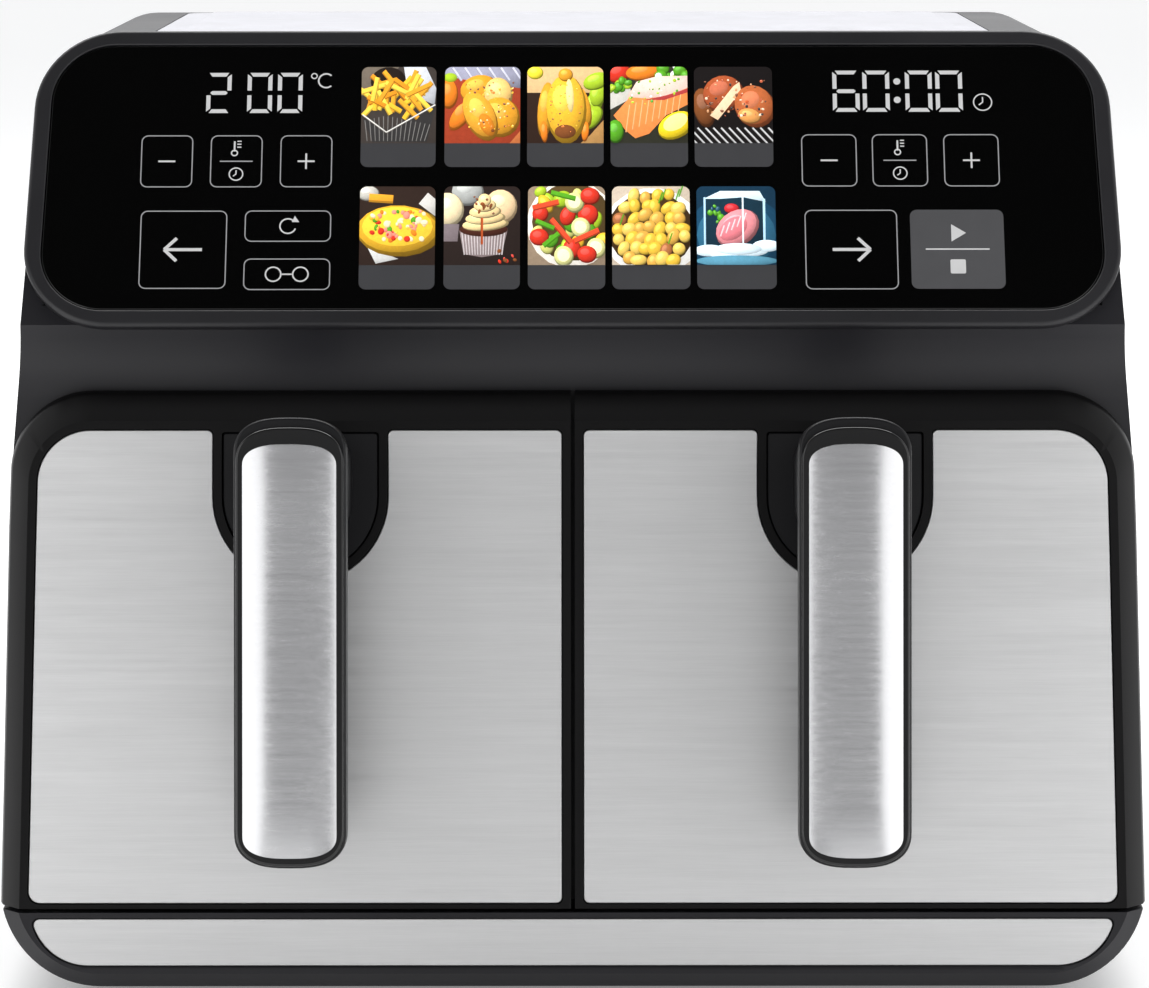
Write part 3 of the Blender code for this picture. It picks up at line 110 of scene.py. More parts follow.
class Nodes:
    """Adds nodes to a tree."""

    def __init__(self, tree: bpy.types.NodeTree) -> None:
        """Work on a node tree."""
        self.tree = tree

    def add(self, kind: str, settings: dict | None = None, inputs: dict | None = None,
            output: str | int = 0) -> Wire:
        """Add a node.

        Args:
            kind: the node's type.
            settings: attributes set first; "stops" fills a colour ramp.
            inputs: values or wires by socket name or number.
            output: which output to return.

        Returns:
            The chosen output.
        """
        node = self.tree.nodes.new(kind)
        for key, value in (settings or {}).items():
            if key == "stops":
                self._fill_ramp(node.color_ramp, value)
            else:
                setattr(node, key, value)
        for key, value in (inputs or {}).items():
            self.feed(node.inputs[key], value)
        return Wire(self, node.outputs[output])

    @staticmethod
    def _fill_ramp(ramp: bpy.types.ColorRamp, stops: Sequence[tuple[float, Colour]]) -> None:
        """Give a colour ramp its stops."""
        while len(ramp.elements) < len(stops):
            ramp.elements.new(1.0)
        for element, (place, colour) in zip(ramp.elements, stops):
            element.position = place
            element.color = (*colour, 1.0)

    def feed(self, socket: bpy.types.NodeSocket, value: "Wire | float | Numbers") -> None:
        """Set a socket's value, or link a wire to it."""
        if isinstance(value, Wire):
            self.tree.links.new(value.socket, socket)
        elif socket.type == "RGBA":
            socket.default_value = (*value, 1.0)[:4]
        else:
            socket.default_value = value

    def place(self, scale: Numbers = (1.0, 1.0, 1.0)) -> Wire:
        """Object coordinates, scaled."""
        coordinates = self.add("ShaderNodeTexCoord", output="Object")
        return self.add("ShaderNodeMapping", {}, {"Vector": coordinates, "Scale": scale})

    def noise(self, vector: Wire, scale: float, detail: float = 2.0, roughness: float = 0.5) -> Wire:
        """A noise field between 0 and 1."""
        return self.add("ShaderNodeTexNoise", {}, {"Vector": vector, "Scale": scale, "Detail": detail,
                                                   "Roughness": roughness}, "Fac")

    def blend(self, factor: "Wire | float", low: "Wire | Colour", high: "Wire | Colour",
              way: str = "MIX") -> Wire:
        """Mix two colours."""
        node = self.tree.nodes.new("ShaderNodeMix")
        node.data_type = "RGBA"
        node.blend_type = way
        self.feed(node.inputs[0], factor)
        self.feed(node.inputs[6], low)
        self.feed(node.inputs[7], high)
        return Wire(self, node.outputs[2])

    def bump(self, height: Wire, depth: float, strength: float = 1.0) -> Wire:
        """A normal from a height field of a real depth in metres."""
        return self.add("ShaderNodeBump", {},
                        {"Height": height, "Distance": depth, "Strength": strength})


class Shop(Nodes):
    """Builds one Principled material."""

    def __init__(self, name: str) -> None:
        """Start a material with an empty Principled shader.

        Args:
            name: the material's name.
        """
        self.material = bpy.data.materials.new(name)
        self.material.use_nodes = True
        super().__init__(self.material.node_tree)
        self.shader = self.tree.nodes["Principled BSDF"]

    def dress(self, **inputs: "Wire | float | Numbers") -> None:
        """Feed the Principled shader; underscores stand for spaces."""
        for key, value in inputs.items():
            self.feed(self.shader.inputs[key.replace("_", " ")], value)


# ---- finishes
def shade(colour: Colour, share: float, lift: float = 0.0) -> Colour:
    """A colour made lighter or darker."""
    return tuple(min(channel * share + lift, 1.0) for channel in colour)


@dataclass(frozen=True)
class MouldedPlastic:
    """Satin moulded plastic with a fine spark-eroded grain."""

    name: str
    colour: Colour = (0.0082, 0.0079, 0.0102)
    roughness: float = 0.46
    grain: float = 2400.0
    grain_depth: float = 0.02 * MM
    sheen: float = 0.38

    def make(self) -> bpy.types.Material:
        """Build the material."""
        shop = Shop(self.name)
        place = shop.place()
        grain = shop.noise(place, self.grain, 2.0)
        cloud = shop.noise(place, 14.0, 4.0)
        shop.dress(Base_Color=shop.blend(cloud.spread(0.3, 0.7), self.colour, shade(self.colour, 1.35)),
                   Roughness=cloud.spread(0.25, 0.75, self.roughness - 0.03, self.roughness + 0.05)
                   + (grain - 0.5) * 0.10,
                   Normal=shop.bump(grain, self.grain_depth, 0.35), Specular_IOR_Level=self.sheen)
        return shop.material


@dataclass(frozen=True)
class PolishedPlastic:
    """Glossy black plastic with faint handling marks."""

    name: str
    colour: Colour = (0.0018, 0.0018, 0.002)
    roughness: float = 0.10

    def make(self) -> bpy.types.Material:
        """Build the material."""
        shop = Shop(self.name)
        place = shop.place()
        smear = shop.noise(place, 60.0, 5.0, 0.6)
        speck = shop.noise(place, 900.0, 1.0)
        shop.dress(Base_Color=shop.blend(smear, self.colour, shade(self.colour, 1.5)),
                   Roughness=smear.spread(0.35, 0.75, self.roughness, self.roughness + 0.08),
                   Normal=shop.bump(speck, 0.006 * MM, 0.3))
        return shop.material


@dataclass(frozen=True)
class BrushedSteel:
    """Stainless sheet brushed along one axis."""

    name: str
    colour: Colour = (0.68, 0.68, 0.68)
    roughness: float = 0.40
    line_pitch: float = 0.16 * MM
    depth: float = 0.003 * MM
    streak: float = 0.06

    def make(self) -> bpy.types.Material:
        """Build the material: fine lines across, broken up along their length."""
        shop = Shop(self.name)
        fine_scale = 1.0 / self.line_pitch
        fine = shop.noise(shop.place((fine_scale * 0.012, fine_scale, fine_scale)), 1.0, 3.0, 0.65)
        broad = shop.noise(shop.place((14.0, 620.0, 620.0)), 1.0, 3.0, 0.6)
        cloud = shop.noise(shop.place((6.0, 22.0, 22.0)), 1.0, 3.0)
        tone = fine * 0.45 + broad * 0.40 + cloud * 0.15
        dark, light = shade(self.colour, 1.0 - self.streak), shade(self.colour, 1.0 + self.streak)
        shop.dress(Base_Color=shop.blend(tone.spread(0.35, 0.65), dark, light), Metallic=1.0,
                   Roughness=tone.spread(0.3, 0.7, self.roughness - 0.06, self.roughness + 0.07),
                   Normal=shop.bump(fine, self.depth, 0.6))
        return shop.material


@dataclass(frozen=True)
class SheetMetal:
    """Plain sheet or turned metal with soft clouding."""

    name: str
    colour: Colour
    roughness: float
    cloud_scale: float = 40.0
    spread: float = 0.15
    metallic: float = 1.0

    def make(self) -> bpy.types.Material:
        """Build the material."""
        shop = Shop(self.name)
        place = shop.place()
        cloud = shop.noise(place, self.cloud_scale, 5.0, 0.6)
        fine = shop.noise(place, 1500.0, 2.0)
        dark, light = shade(self.colour, 1.0 - self.spread), shade(self.colour, 1.0 + self.spread)
        shop.dress(Base_Color=shop.blend(cloud.spread(0.3, 0.7), dark, light), Metallic=self.metallic,
                   Roughness=cloud.spread(0.3, 0.7, self.roughness - 0.05, self.roughness + 0.08),
                   Normal=shop.bump(fine, 0.01 * MM, 0.3))
        return shop.material


@dataclass(frozen=True)
class BlackGlass:
    """The panel's opaque black glass."""

    name: str
    colour: Colour = (0.0012, 0.0012, 0.0012)

    def make(self) -> bpy.types.Material:
        """Build the material: nearly even, with the faintest smears in its gloss."""
        shop = Shop(self.name)
        smear = shop.noise(shop.place(), 25.0, 4.0, 0.6)
        shop.dress(Base_Color=shop.blend(smear, self.colour, shade(self.colour, 1.4)),
                   Roughness=smear.spread(0.4, 0.8, 0.035, 0.075), Specular_IOR_Level=0.4)
        return shop.material


@dataclass(frozen=True)
class LitPrint:
    """Back-lit printing on the glass."""

    name: str
    colour: Colour = (0.48, 0.48, 0.48)
    glow: float = 0.5

    def make(self) -> bpy.types.Material:
        """Build the material, slightly uneven like lamps behind a mask."""
        shop = Shop(self.name)
        uneven = shop.noise(shop.place(), 120.0, 2.0)
        tint = shop.blend(uneven, shade(self.colour, 0.86), self.colour)
        shop.dress(Base_Color=tint, Emission_Color=tint, Emission_Strength=self.glow, Roughness=0.35)
        return shop.material


@dataclass(frozen=True)
class FoodPrint:
    """Back-lit food pictures: each shape carries its tint, and its own round shading from its UV map."""

    name: str
    glow: float = 0.55

    def make(self) -> bpy.types.Material:
        """Build the material."""
        shop = Shop(self.name)
        tint = shop.add("ShaderNodeAttribute", {"attribute_name": "tint"}, {}, "Color")
        local = shop.add("ShaderNodeUVMap", {"uv_map": "form"})
        across = shop.add("ShaderNodeSeparateXYZ", {}, {"Vector": local}, "X")
        up = Wire(shop, across.socket.node.outputs["Y"])
        rim = (across * across + up * up).power(1.2)
        light = 1.02 - across * 0.22 + up * 0.34 - rim * 0.42
        place = shop.place()
        crumb = shop.noise(place, 2600.0, 3.0, 0.6)
        patch = shop.noise(place, 700.0, 2.0)
        light = light * (0.70 + crumb * 0.34 + patch * 0.28)
        flat = shop.add("ShaderNodeCombineColor", {}, {"Red": light, "Green": light, "Blue": light})
        picture = shop.blend(1.0, tint, flat, "MULTIPLY")
        shop.dress(Base_Color=picture, Emission_Color=picture, Emission_Strength=self.glow,
                   Roughness=0.3)
        return shop.material


class Slot(Enum):
    """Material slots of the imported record."""

    PLASTIC = "charcoal_plastic"
    GLOSS = "black_gloss"
    GLASS = "panel_glass"
    STEEL = "brushed_steel"
    TOP = "satin_steel"
    COATED = "coated_steel"
    ZINC_SHEET = "galvanised_steel"
    HEATER = "heater_tube"
    ALUMINIUM = "aluminium"
    SCREW = "zinc_screw"
    RUBBER = "black_rubber"
    BOARD = "circuit_board"


class Palette:
    """Every finish of the object, made once."""

    def __init__(self) -> None:
        """Make the materials."""
        self.casing = MouldedPlastic("casing_plastic").make()
        self.bezel = MouldedPlastic("bezel_plastic", (0.013, 0.0127, 0.0145), 0.40).make()
        self.door = MouldedPlastic("door_plastic", (0.0036, 0.0034, 0.0036), 0.34, sheen=0.14).make()
        self.grip = MouldedPlastic("grip_plastic", (0.0050, 0.0049, 0.0058), 0.36, sheen=0.25).make()
        self.inner = MouldedPlastic("inner_plastic", (0.010, 0.010, 0.010), 0.5).make()
        self.gloss = PolishedPlastic("polished_plastic").make()
        self.plate = BrushedSteel("door_steel").make()
        self.cover = BrushedSteel("handle_steel", (0.56, 0.56, 0.57), 0.23, 0.20 * MM, 0.0018 * MM,
                                  0.05).make()
        self.top = SheetMetal("top_satin", (0.42, 0.42, 0.45), 0.36, 90.0, 0.04).make()
        self.glass = BlackGlass("panel_glass").make()
        self.lit = LitPrint("lit_symbols").make()
        self.line = LitPrint("lit_lines", (0.30, 0.30, 0.31), 0.35).make()
        self.key = LitPrint("key_field", (0.072, 0.072, 0.076), 0.25).make()
        self.caption = LitPrint("caption_field", (0.050, 0.050, 0.054), 0.2).make()
        self.food = FoodPrint("food_pictures").make()
        self.coated = SheetMetal("basket_coating", (0.022, 0.022, 0.024), 0.42, 120.0, 0.25, 0.25).make()
        self.sheet = SheetMetal("oven_sheet", (0.50, 0.50, 0.50), 0.34, 55.0, 0.18).make()
        self.heater = SheetMetal("heater_tube", (0.10, 0.092, 0.085), 0.45, 140.0, 0.35).make()
        self.aluminium = SheetMetal("cast_aluminium", (0.55, 0.55, 0.56), 0.38, 80.0, 0.12).make()
        self.zinc = SheetMetal("zinc_plate", (0.46, 0.46, 0.47), 0.30, 200.0, 0.15).make()
        self.rubber = MouldedPlastic("rubber", (0.012, 0.012, 0.012), 0.72, 1500.0, 0.03 * MM).make()
        self.board = MouldedPlastic("board_green", (0.02, 0.10, 0.045), 0.45, 1800.0).make()


# ---- geometry
NEAR = 0.01 * MM
CRISP = math.radians(40.0)
ALONG_Y = Matrix.Rotation(-math.pi / 2.0, 4, "X")


@dataclass(frozen=True)
class Plane:
    """A drawing plane in the object: x across, y up the plane, z outwards."""

    lean: float = 0.0
    foot_y: float = 0.0
    foot_z: float = 0.0

    def matrix(self) -> Matrix:
        """The plane's place in the object."""
        return (Matrix.Translation((0.0, self.foot_y, self.foot_z))
                @ Matrix.Rotation(math.pi / 2.0 - self.lean, 4, "X"))


def arc(centre: Point, radius: float, start: float, end: float, steps: int = 10) -> list[Point]:
    """Points of an arc in degrees, both ends included."""
    angles = [math.radians(start + (end - start) * step / steps) for step in range(steps + 1)]
    x, y = centre
    return [(x + radius * math.cos(angle), y + radius * math.sin(angle)) for angle in angles]


def round_box(x0: float, y0: float, x1: float, y1: float, radius: float, steps: int = 8) -> list[Point]:
    """Counter-clockwise rounded rectangle."""
    return (arc((x1 - radius, y0 + radius), radius, -90.0, 0.0, steps)
            + arc((x1 - radius, y1 - radius), radius, 0.0, 90.0, steps)
            + arc((x0 + radius, y1 - radius), radius, 90.0, 180.0, steps)
            + arc((x0 + radius, y0 + radius), radius, 180.0, 270.0, steps))


def around(centre: Point, size: Point, radius: float, steps: int = 6, inset: float = 0.0) -> list[Point]:
    """Rounded rectangle round a centre, moved inwards."""
    (x, y), half_x, half_y = centre, size[0] / 2.0 - inset, size[1] / 2.0 - inset
    return round_box(x - half_x, y - half_y, x + half_x, y + half_y, radius - inset, steps)


def mirrored(right: Outline, middle: float = 0.0) -> list[Point]:
    """An outline's right half followed by its mirror image."""
    return [*right, *((2.0 * middle - x, y) for x, y in reversed(right))]


def bowed_bar(middle: float, half: float, low: float, high: float, bow: float,
              steps: int = 28) -> list[Point]:
    """A bar's outline whose two ends are flat superellipses."""
    points = []
    for end, centre in ((1.0, high - bow), (-1.0, low + bow)):
        for step in range(steps + 1):
            angle = math.pi * step / steps
            across, up = math.cos(angle), math.sin(angle)
            x = math.copysign(abs(across) ** 0.72, across) * half
            y = abs(up) ** 0.80 * bow
            points.append((middle + end * x, centre + end * y))
    return points


class Form:
    """A mesh being shaped with bmesh operators."""

    def __init__(self) -> None:
        """Start empty."""
        self.bm = bmesh.new()

    def face(self, points: Outline, z: float = 0.0) -> bmesh.types.BMFace:
        """A flat face through points at a height."""
        return self.bm.faces.new([self.bm.verts.new((x, y, z)) for x, y in points])

    def ring(self, points: Outline, level: float) -> Edges:
        """A closed loop of edges through points at a height."""
        verts = [self.bm.verts.new((x, y, level)) for x, y in points]
        return [self.bm.edges.new(pair) for pair in zip(verts, verts[1:] + verts[:1])]

    def bridge(self, loops: Sequence[Edges]) -> None:
        """Join each loop of edges to the next."""
        for first, second in zip(loops, loops[1:]):
            bmesh.ops.bridge_loops(self.bm, edges=first + second)

    def cap(self, edges: Edges, facing: float = 1.0) -> Faces:
        """Fill the area between loops of edges."""
        made = bmesh.ops.triangle_fill(self.bm, edges=edges, use_beauty=True, normal=(0.0, 0.0, facing))
        return [item for item in made["geom"] if isinstance(item, bmesh.types.BMFace)]

    def band(self, outer: Outline, inner: Outline, low: float, high: float) -> None:
        """A flat solid between two outlines, one inside the other."""
        flat = self.cap(self.ring(outer, low) + self.ring(inner, low))
        self.pull(flat, (0.0, 0.0, high - low))

    def everything(self) -> list[bmesh.types.BMVert | bmesh.types.BMEdge | bmesh.types.BMFace]:
        """Every vertex, edge and face."""
        return self.bm.verts[:] + self.bm.edges[:] + self.bm.faces[:]

    def pull(self, faces: Faces, along: Numbers) -> None:
        """Extrude faces, whose old place becomes the other end."""
        made = bmesh.ops.extrude_face_region(self.bm, geom=faces, use_keep_orig=True)["geom"]
        verts = [item for item in made if isinstance(item, bmesh.types.BMVert)]
        bmesh.ops.translate(self.bm, vec=along, verts=verts)

    def slab(self, points: Outline, low: float, high: float) -> None:
        """A solid from an outline."""
        self.pull([self.face(points, low)], (0.0, 0.0, high - low))
        bmesh.ops.recalc_face_normals(self.bm, faces=self.bm.faces[:])

    def block(self, low: Numbers, high: Numbers) -> None:
        """A box between two corners."""
        verts = bmesh.ops.create_cube(self.bm, size=1.0)["verts"]
        low, high = Vector(low), Vector(high)
        bmesh.ops.scale(self.bm, vec=high - low, verts=verts)
        bmesh.ops.translate(self.bm, vec=(high + low) / 2.0, verts=verts)

    def drum(self, radius: float, reach: float, centre: Numbers) -> None:
        """A cylinder along Y that reaches as far to both sides of its centre."""
        place = Matrix.Translation(centre) @ ALONG_Y
        bmesh.ops.create_cone(self.bm, cap_ends=True, segments=48, radius1=radius, radius2=radius,
                              depth=2.0 * reach, matrix=place)

    def turn(self, profile: Outline, place: Matrix, steps: int = 48) -> None:
        """Spin an axis-to-axis profile of (radius, height) about Z, then put it in place."""
        verts = [self.bm.verts.new((radius, 0.0, height)) for radius, height in profile]
        edges = [self.bm.edges.new(pair) for pair in zip(verts, verts[1:])]
        bmesh.ops.spin(self.bm, geom=verts + edges, axis=(0.0, 0.0, 1.0), angle=math.tau,
                       steps=steps, use_merge=True)
        self.bm.transform(place)
        bmesh.ops.remove_doubles(self.bm, verts=self.bm.verts[:], dist=NEAR)

    def edges(self, test: Callable[[Vector, Vector], bool]) -> Edges:
        """Edges whose two end points pass a test."""
        return [edge for edge in self.bm.edges if test(edge.verts[0].co, edge.verts[1].co)]

    def sharp_edges(self, above: float = -math.inf, below: float = math.inf) -> Edges:
        """Edges between two heights whose faces meet at a crisp angle."""
        return [edge for edge in self.edges(lambda a, b: above < min(a.z, b.z) and max(a.z, b.z) < below)
                if len(edge.link_faces) == 2 and edge.calc_face_angle(0.0) > CRISP]

    def round(self, edges: Iterable[bmesh.types.BMEdge], width: float, segments: int = 4) -> None:
        """Round edges."""
        bmesh.ops.bevel(self.bm, geom=list(edges), offset=width, offset_type="OFFSET", affect="EDGES",
                        segments=segments, profile=0.5, material=-1, clamp_overlap=True)

    def clip(self, point: Numbers, normal: Numbers) -> None:
        """Cut along a plane and drop what lies on its normal's side."""
        bmesh.ops.bisect_plane(self.bm, geom=self.everything(), plane_co=point, plane_no=normal,
                               clear_outer=True, dist=NEAR / 10.0)

    def score(self, point: Numbers, normal: Numbers) -> None:
        """Add an edge loop along a plane."""
        bmesh.ops.bisect_plane(self.bm, geom=self.everything(), plane_co=point, plane_no=normal,
                               dist=NEAR / 10.0)

    def drop(self, test: Callable[[bmesh.types.BMFace, float], bool]) -> None:
        """Delete faces that pass a test on the face and its highest point."""
        gone = [face for face in self.bm.faces if test(face, max(vert.co.z for vert in face.verts))]
        bmesh.ops.delete(self.bm, geom=gone, context="FACES")

    def tidy(self) -> None:
        """Merge doubles and point every face outwards."""
        bmesh.ops.remove_doubles(self.bm, verts=self.bm.verts[:], dist=NEAR / 5.0)
        bmesh.ops.recalc_face_normals(self.bm, faces=self.bm.faces[:])


@dataclass
class Piece:
    """What every finished piece says about itself."""

    name: str
    finish: bpy.types.Material
    body: str
    slot: Slot
    stands_for: tuple[str, ...] = ()

    def build(self, form: Form, plane: Plane | None = None, wall: float = 0.0, edge: float = 0.0,
              smooth: float = 32.0, recalc: bool = True, even: bool = True) -> bpy.types.Object:
        """Turn a form into a finished object that rides on its body.

        Args:
            form: the shaped mesh, which is used up.
            plane: where the form was drawn, or None for the object's own axes.
            wall: thickness given inwards to an open shell.
            edge: width of the fine rounding on sharp edges.
            smooth: edges sharper than this many degrees stay crisp.
            recalc: whether faces are pointed outwards first.
            even: whether the wall keeps its thickness round bends.

        Returns:
            The object.
        """
        if recalc:
            form.tidy()
        if plane is not None:
            form.bm.transform(plane.matrix())
        mesh = bpy.data.meshes.new(self.name)
        form.bm.to_mesh(mesh)
        form.bm.free()
        mesh.shade_smooth()
        mesh.set_sharp_from_angle(angle=math.radians(smooth))
        mesh.materials.append(self.finish)
        item = bpy.data.objects.new(self.name, mesh)
        bpy.context.scene.collection.objects.link(item)
        if wall:
            shell = item.modifiers.new("wall", "SOLIDIFY")
            shell.thickness = wall
            shell.offset = -1.0
            shell.use_even_offset = even
        if edge:
            rounding = item.modifiers.new("edges", "BEVEL")
            rounding.width = edge
            rounding.segments = 2
            rounding.limit_method = "ANGLE"
            rounding.angle_limit = CRISP
            rounding.harden_normals = False
        weigh = item.modifiers.new("normals", "WEIGHTED_NORMAL")
        weigh.keep_sharp = True
        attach(item, self.body)
        if self.stands_for:
            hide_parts(*self.stands_for)
        LOG.info("%s rides on %s", self.name, self.body)
        return item


def carve(item: bpy.types.Object, *cutters: Form) -> bpy.types.Object:
    """Cut forms out of a finished object and keep the result as its plain mesh.

    Args:
        item: the object to cut.
        cutters: closed forms in the object's own axes, which are used up.

    Returns:
        The same object.
    """
    tools = []
    for number, form in enumerate(cutters):
        form.tidy()
        mesh = bpy.data.meshes.new(f"{item.name}_cut_{number}")
        form.bm.to_mesh(mesh)
        form.bm.free()
        tool = bpy.data.objects.new(mesh.name, mesh)
        bpy.context.scene.collection.objects.link(tool)
        modifier = item.modifiers.new(tool.name, "BOOLEAN")
        modifier.operation = "DIFFERENCE"
        modifier.solver = "EXACT"
        modifier.object = tool
        tools.append(tool)
    graph = bpy.context.evaluated_depsgraph_get()
    result = bpy.data.meshes.new_from_object(item.evaluated_get(graph))
    item.modifiers.clear()
    item.data = result
    for tool in tools:
        bpy.data.objects.remove(tool, do_unlink=True)
    result.set_sharp_from_angle(angle=math.radians(32.0))
    weigh = item.modifiers.new("normals", "WEIGHTED_NORMAL")
    weigh.keep_sharp = True
    return item


# ---- layout
@dataclass(frozen=True)
class Layout:
    """Sizes that several sub-assemblies share, all in metres."""

    datum_y: float
    half_width: float
    top_z: float
    depth: float
    side_lean: float = 0.0225
    waist: tuple[float, float, float] = (3.3 * MM, 165.0 * MM, 240.0 * MM)
    head_lean: float = 0.022
    wall: float = 2.5 * MM
    door_lean: float = math.radians(8.35)
    base_top: float = 30.2 * MM
    seam: float = 1.3 * MM
    door_top: float = 206.0 * MM
    door_thickness: float = 14.0 * MM
    panel_lean: float = math.radians(29.5)
    panel_foot_y: float = 33.7 * MM
    panel_foot_z: float = 225.0 * MM
    panel_half: float = 185.8 * MM
    panel_height: float = 110.9 * MM
    panel_proud: float = 4.0 * MM
    panel_corner: float = 29.0 * MM
    handle_x: float = 91.5 * MM
    chin_z: float = 200.0 * MM
    sill_z: float = 178.0 * MM

    def half(self, z: float, inset: float = 0.0) -> float:
        """Half of the body's width at a height."""
        depth, low, high = self.waist
        share = min(max((z - low) / (high - low), 0.0), 1.0)
        drawn_in = depth * share * share * (3.0 - 2.0 * share) + self.head_lean * max(z - high, 0.0)
        return self.half_width - inset - self.side_lean * z - drawn_in

    def lean_y(self, z: float, behind: float) -> float:
        """Depth of a plane behind the door plane at a height."""
        return self.datum_y + z * math.tan(self.door_lean) + behind / math.cos(self.door_lean)

    def door_plane(self) -> Plane:
        """The plane of the doors' faces."""
        return Plane(self.door_lean, self.datum_y, 0.0)

    def panel_plane(self) -> Plane:
        """The plane of the panel's face."""
        return Plane(self.panel_lean, self.datum_y + self.panel_foot_y, self.panel_foot_z)

    def panel_point(self, up: float, out: float) -> Point:
        """Depth and height of a point up the panel plane and out of it."""
        sine, cosine = math.sin(self.panel_lean), math.cos(self.panel_lean)
        return (self.datum_y + self.panel_foot_y + up * sine - out * cosine,
                self.panel_foot_z + up * cosine + out * sine)


def read_layout() -> Layout:
    """Take the overall sizes from the frame."""
    cover_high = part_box("rear_cover")[1]
    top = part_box("outer_casing")[1][2]
    depth = 328.0 * MM
    return Layout(datum_y=cover_high[1] - depth, half_width=194.2 * MM, top_z=top, depth=depth)


@dataclass
class Assembly:
    """What every sub-assembly works from."""

    layout: Layout
    palette: Palette

    def add(self, name: str, finish: bpy.types.Material, slot: Slot, form: Form, stands_for: str = "",
            body: str = "housing", **shaping: "Plane | float | bool") -> bpy.types.Object:
        """Make one piece.

        Args:
            name: the piece's name.
            finish: its material.
            slot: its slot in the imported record.
            form: its shape, which is used up.
            stands_for: the node that it replaces, or nothing for an extra piece.
            body: the body that it rides on.
            shaping: plane, wall, edge and the other choices of Piece.build.

        Returns:
            The object.
        """
        nodes = (stands_for,) if stands_for else ()
        return Piece(name, finish, body, slot, nodes).build(form, **shaping)


# ---- body
@dataclass
class Casing(Assembly):
    """Outer casing with the hollow chin and the panel's window, and the rear cover behind it."""

    shoulder: float = 23.0 * MM
    rear_top: float = 45.0 * MM
    chin_hollow: float = 2.6 * MM
    chin_edge: float = 3.0 * MM
    chin_steps: int = 10
    height_steps: int = 16
    cover_depth: float = 28.0 * MM
    gap: float = 0.5 * MM
    window_inset: float = 7.0 * MM
    fine_edge: float = 0.5 * MM
    vent_rows: int = 6
    vent_pitch: float = 10.0 * MM
    vent_slot: Point = (84.0 * MM, 3.6 * MM)
    vent_place: Point = (84.0 * MM, 214.0 * MM)
    cut_reach: float = 6.0 * MM
    inlet: tuple[float, float, float] = (120.0 * MM, 62.0 * MM, 8.3 * MM)

    def profile(self) -> list[Point]:
        """Side outline as depth and height: door plane, hollow chin, panel slope, top and rear."""
        lay = self.layout
        behind = lay.door_thickness + 0.4 * MM
        foot = lay.base_top * math.cos(lay.door_lean) + lay.seam
        low = (lay.lean_y(lay.chin_z, behind), lay.chin_z)
        high = lay.panel_point(2.0 * MM, -lay.panel_proud)
        points = [(lay.lean_y(foot, behind), foot), (lay.lean_y(lay.sill_z, behind), lay.sill_z)]
        steps = self.chin_steps
        for step in range(steps + 1):
            share = step / steps
            y, z = (start + (end - start) * share for start, end in zip(low, high))
            points.append((y + self.chin_hollow * math.sin(math.pi * share), z))
        slope = lay.panel_point(0.0, -lay.panel_proud)
        head = slope[0] + (lay.top_z - slope[1]) * math.tan(lay.panel_lean)
        back = lay.datum_y + lay.depth
        return points + [(head, lay.top_z), (back, lay.top_z), (back, foot)]

    def solid(self) -> Form:
        """The whole body as one solid, rounded and tapered."""
        lay = self.layout
        form = Form()
        outline = self.profile()
        half = lay.half_width
        face = form.bm.faces.new([form.bm.verts.new((-half, y, z)) for y, z in outline])
        form.pull([face], (2.0 * half, 0.0, 0.0))
        form.tidy()
        back, top = lay.datum_y + lay.depth, lay.top_z
        form.round(form.edges(lambda a, b: min(a.y, b.y) > back - NEAR and min(a.z, b.z) > top - NEAR),
                   self.rear_top, 14)
        slope_top, chin_low, chin_high = outline[-3][0], lay.sill_z, outline[self.chin_steps + 2][0]
        self.round_sides(form, lambda a, b: min(a.y, b.y) > slope_top - NEAR and a.z + b.z > 0.1,
                         self.shoulder, 12)
        self.round_sides(form, lambda a, b: max(a.y, b.y) < chin_high + NEAR
                         and min(a.z, b.z) > chin_low - NEAR, self.chin_edge, 4)
        for step in range(1, self.height_steps):
            form.score((0.0, 0.0, top * step / self.height_steps), (0.0, 0.0, 1.0))
        for vert in form.bm.verts:
            vert.co.x *= lay.half(vert.co.z) / half
        return form

    def round_sides(self, form: Form, test: Callable[[Vector, Vector], bool], width: float,
                    segments: int) -> None:
        """Round those edges of the two sides that pass a test."""
        half = self.layout.half_width
        side = form.edges(lambda a, b: abs(abs(a.x) - half) < NEAR and abs(a.x - b.x) < NEAR
                          and test(a, b))
        form.round([edge for edge in side if edge.calc_face_angle(0.0) > 0.5], width, segments)

    def open_faces(self, form: Form) -> None:
        """Take away the foot, the front behind the doors and the panel's window."""
        lay = self.layout
        foot = min(vert.co.z for vert in form.bm.verts)
        form.bm.normal_update()
        form.drop(lambda face, high: high < foot + NEAR
                  or (face.normal.y < -0.9 and high < lay.sill_z + NEAR))
        slope = [face for face in form.bm.faces
                 if face.normal.y < -0.6 and face.calc_center_median().z > lay.panel_foot_z
                 and abs(face.normal.z - math.sin(lay.panel_lean)) < 0.02]
        bmesh.ops.inset_region(form.bm, faces=slope, thickness=self.window_inset, use_boundary=True,
                               use_even_offset=True)
        bmesh.ops.delete(form.bm, geom=slope, context="FACES")

    def slots(self) -> list[Form]:
        """Cutters for the vents and the cable inlet."""
        lay = self.layout
        back = lay.datum_y + lay.depth
        cutters = []
        upright = Plane(0.0, back, 0.0)
        for side in (-1.0, 1.0):
            for row in range(self.vent_rows):
                centre = (side * self.vent_place[0], self.vent_place[1] + self.vent_pitch * row)
                form = Form()
                form.slab(around(centre, self.vent_slot, self.vent_slot[1] * 0.45, 4),
                          -self.cut_reach, self.cut_reach)
                form.bm.transform(upright.matrix())
                cutters.append(form)
        form = Form()
        x, z, radius = self.inlet
        form.drum(radius, self.cut_reach, (x, back, z))
        return cutters + [form]

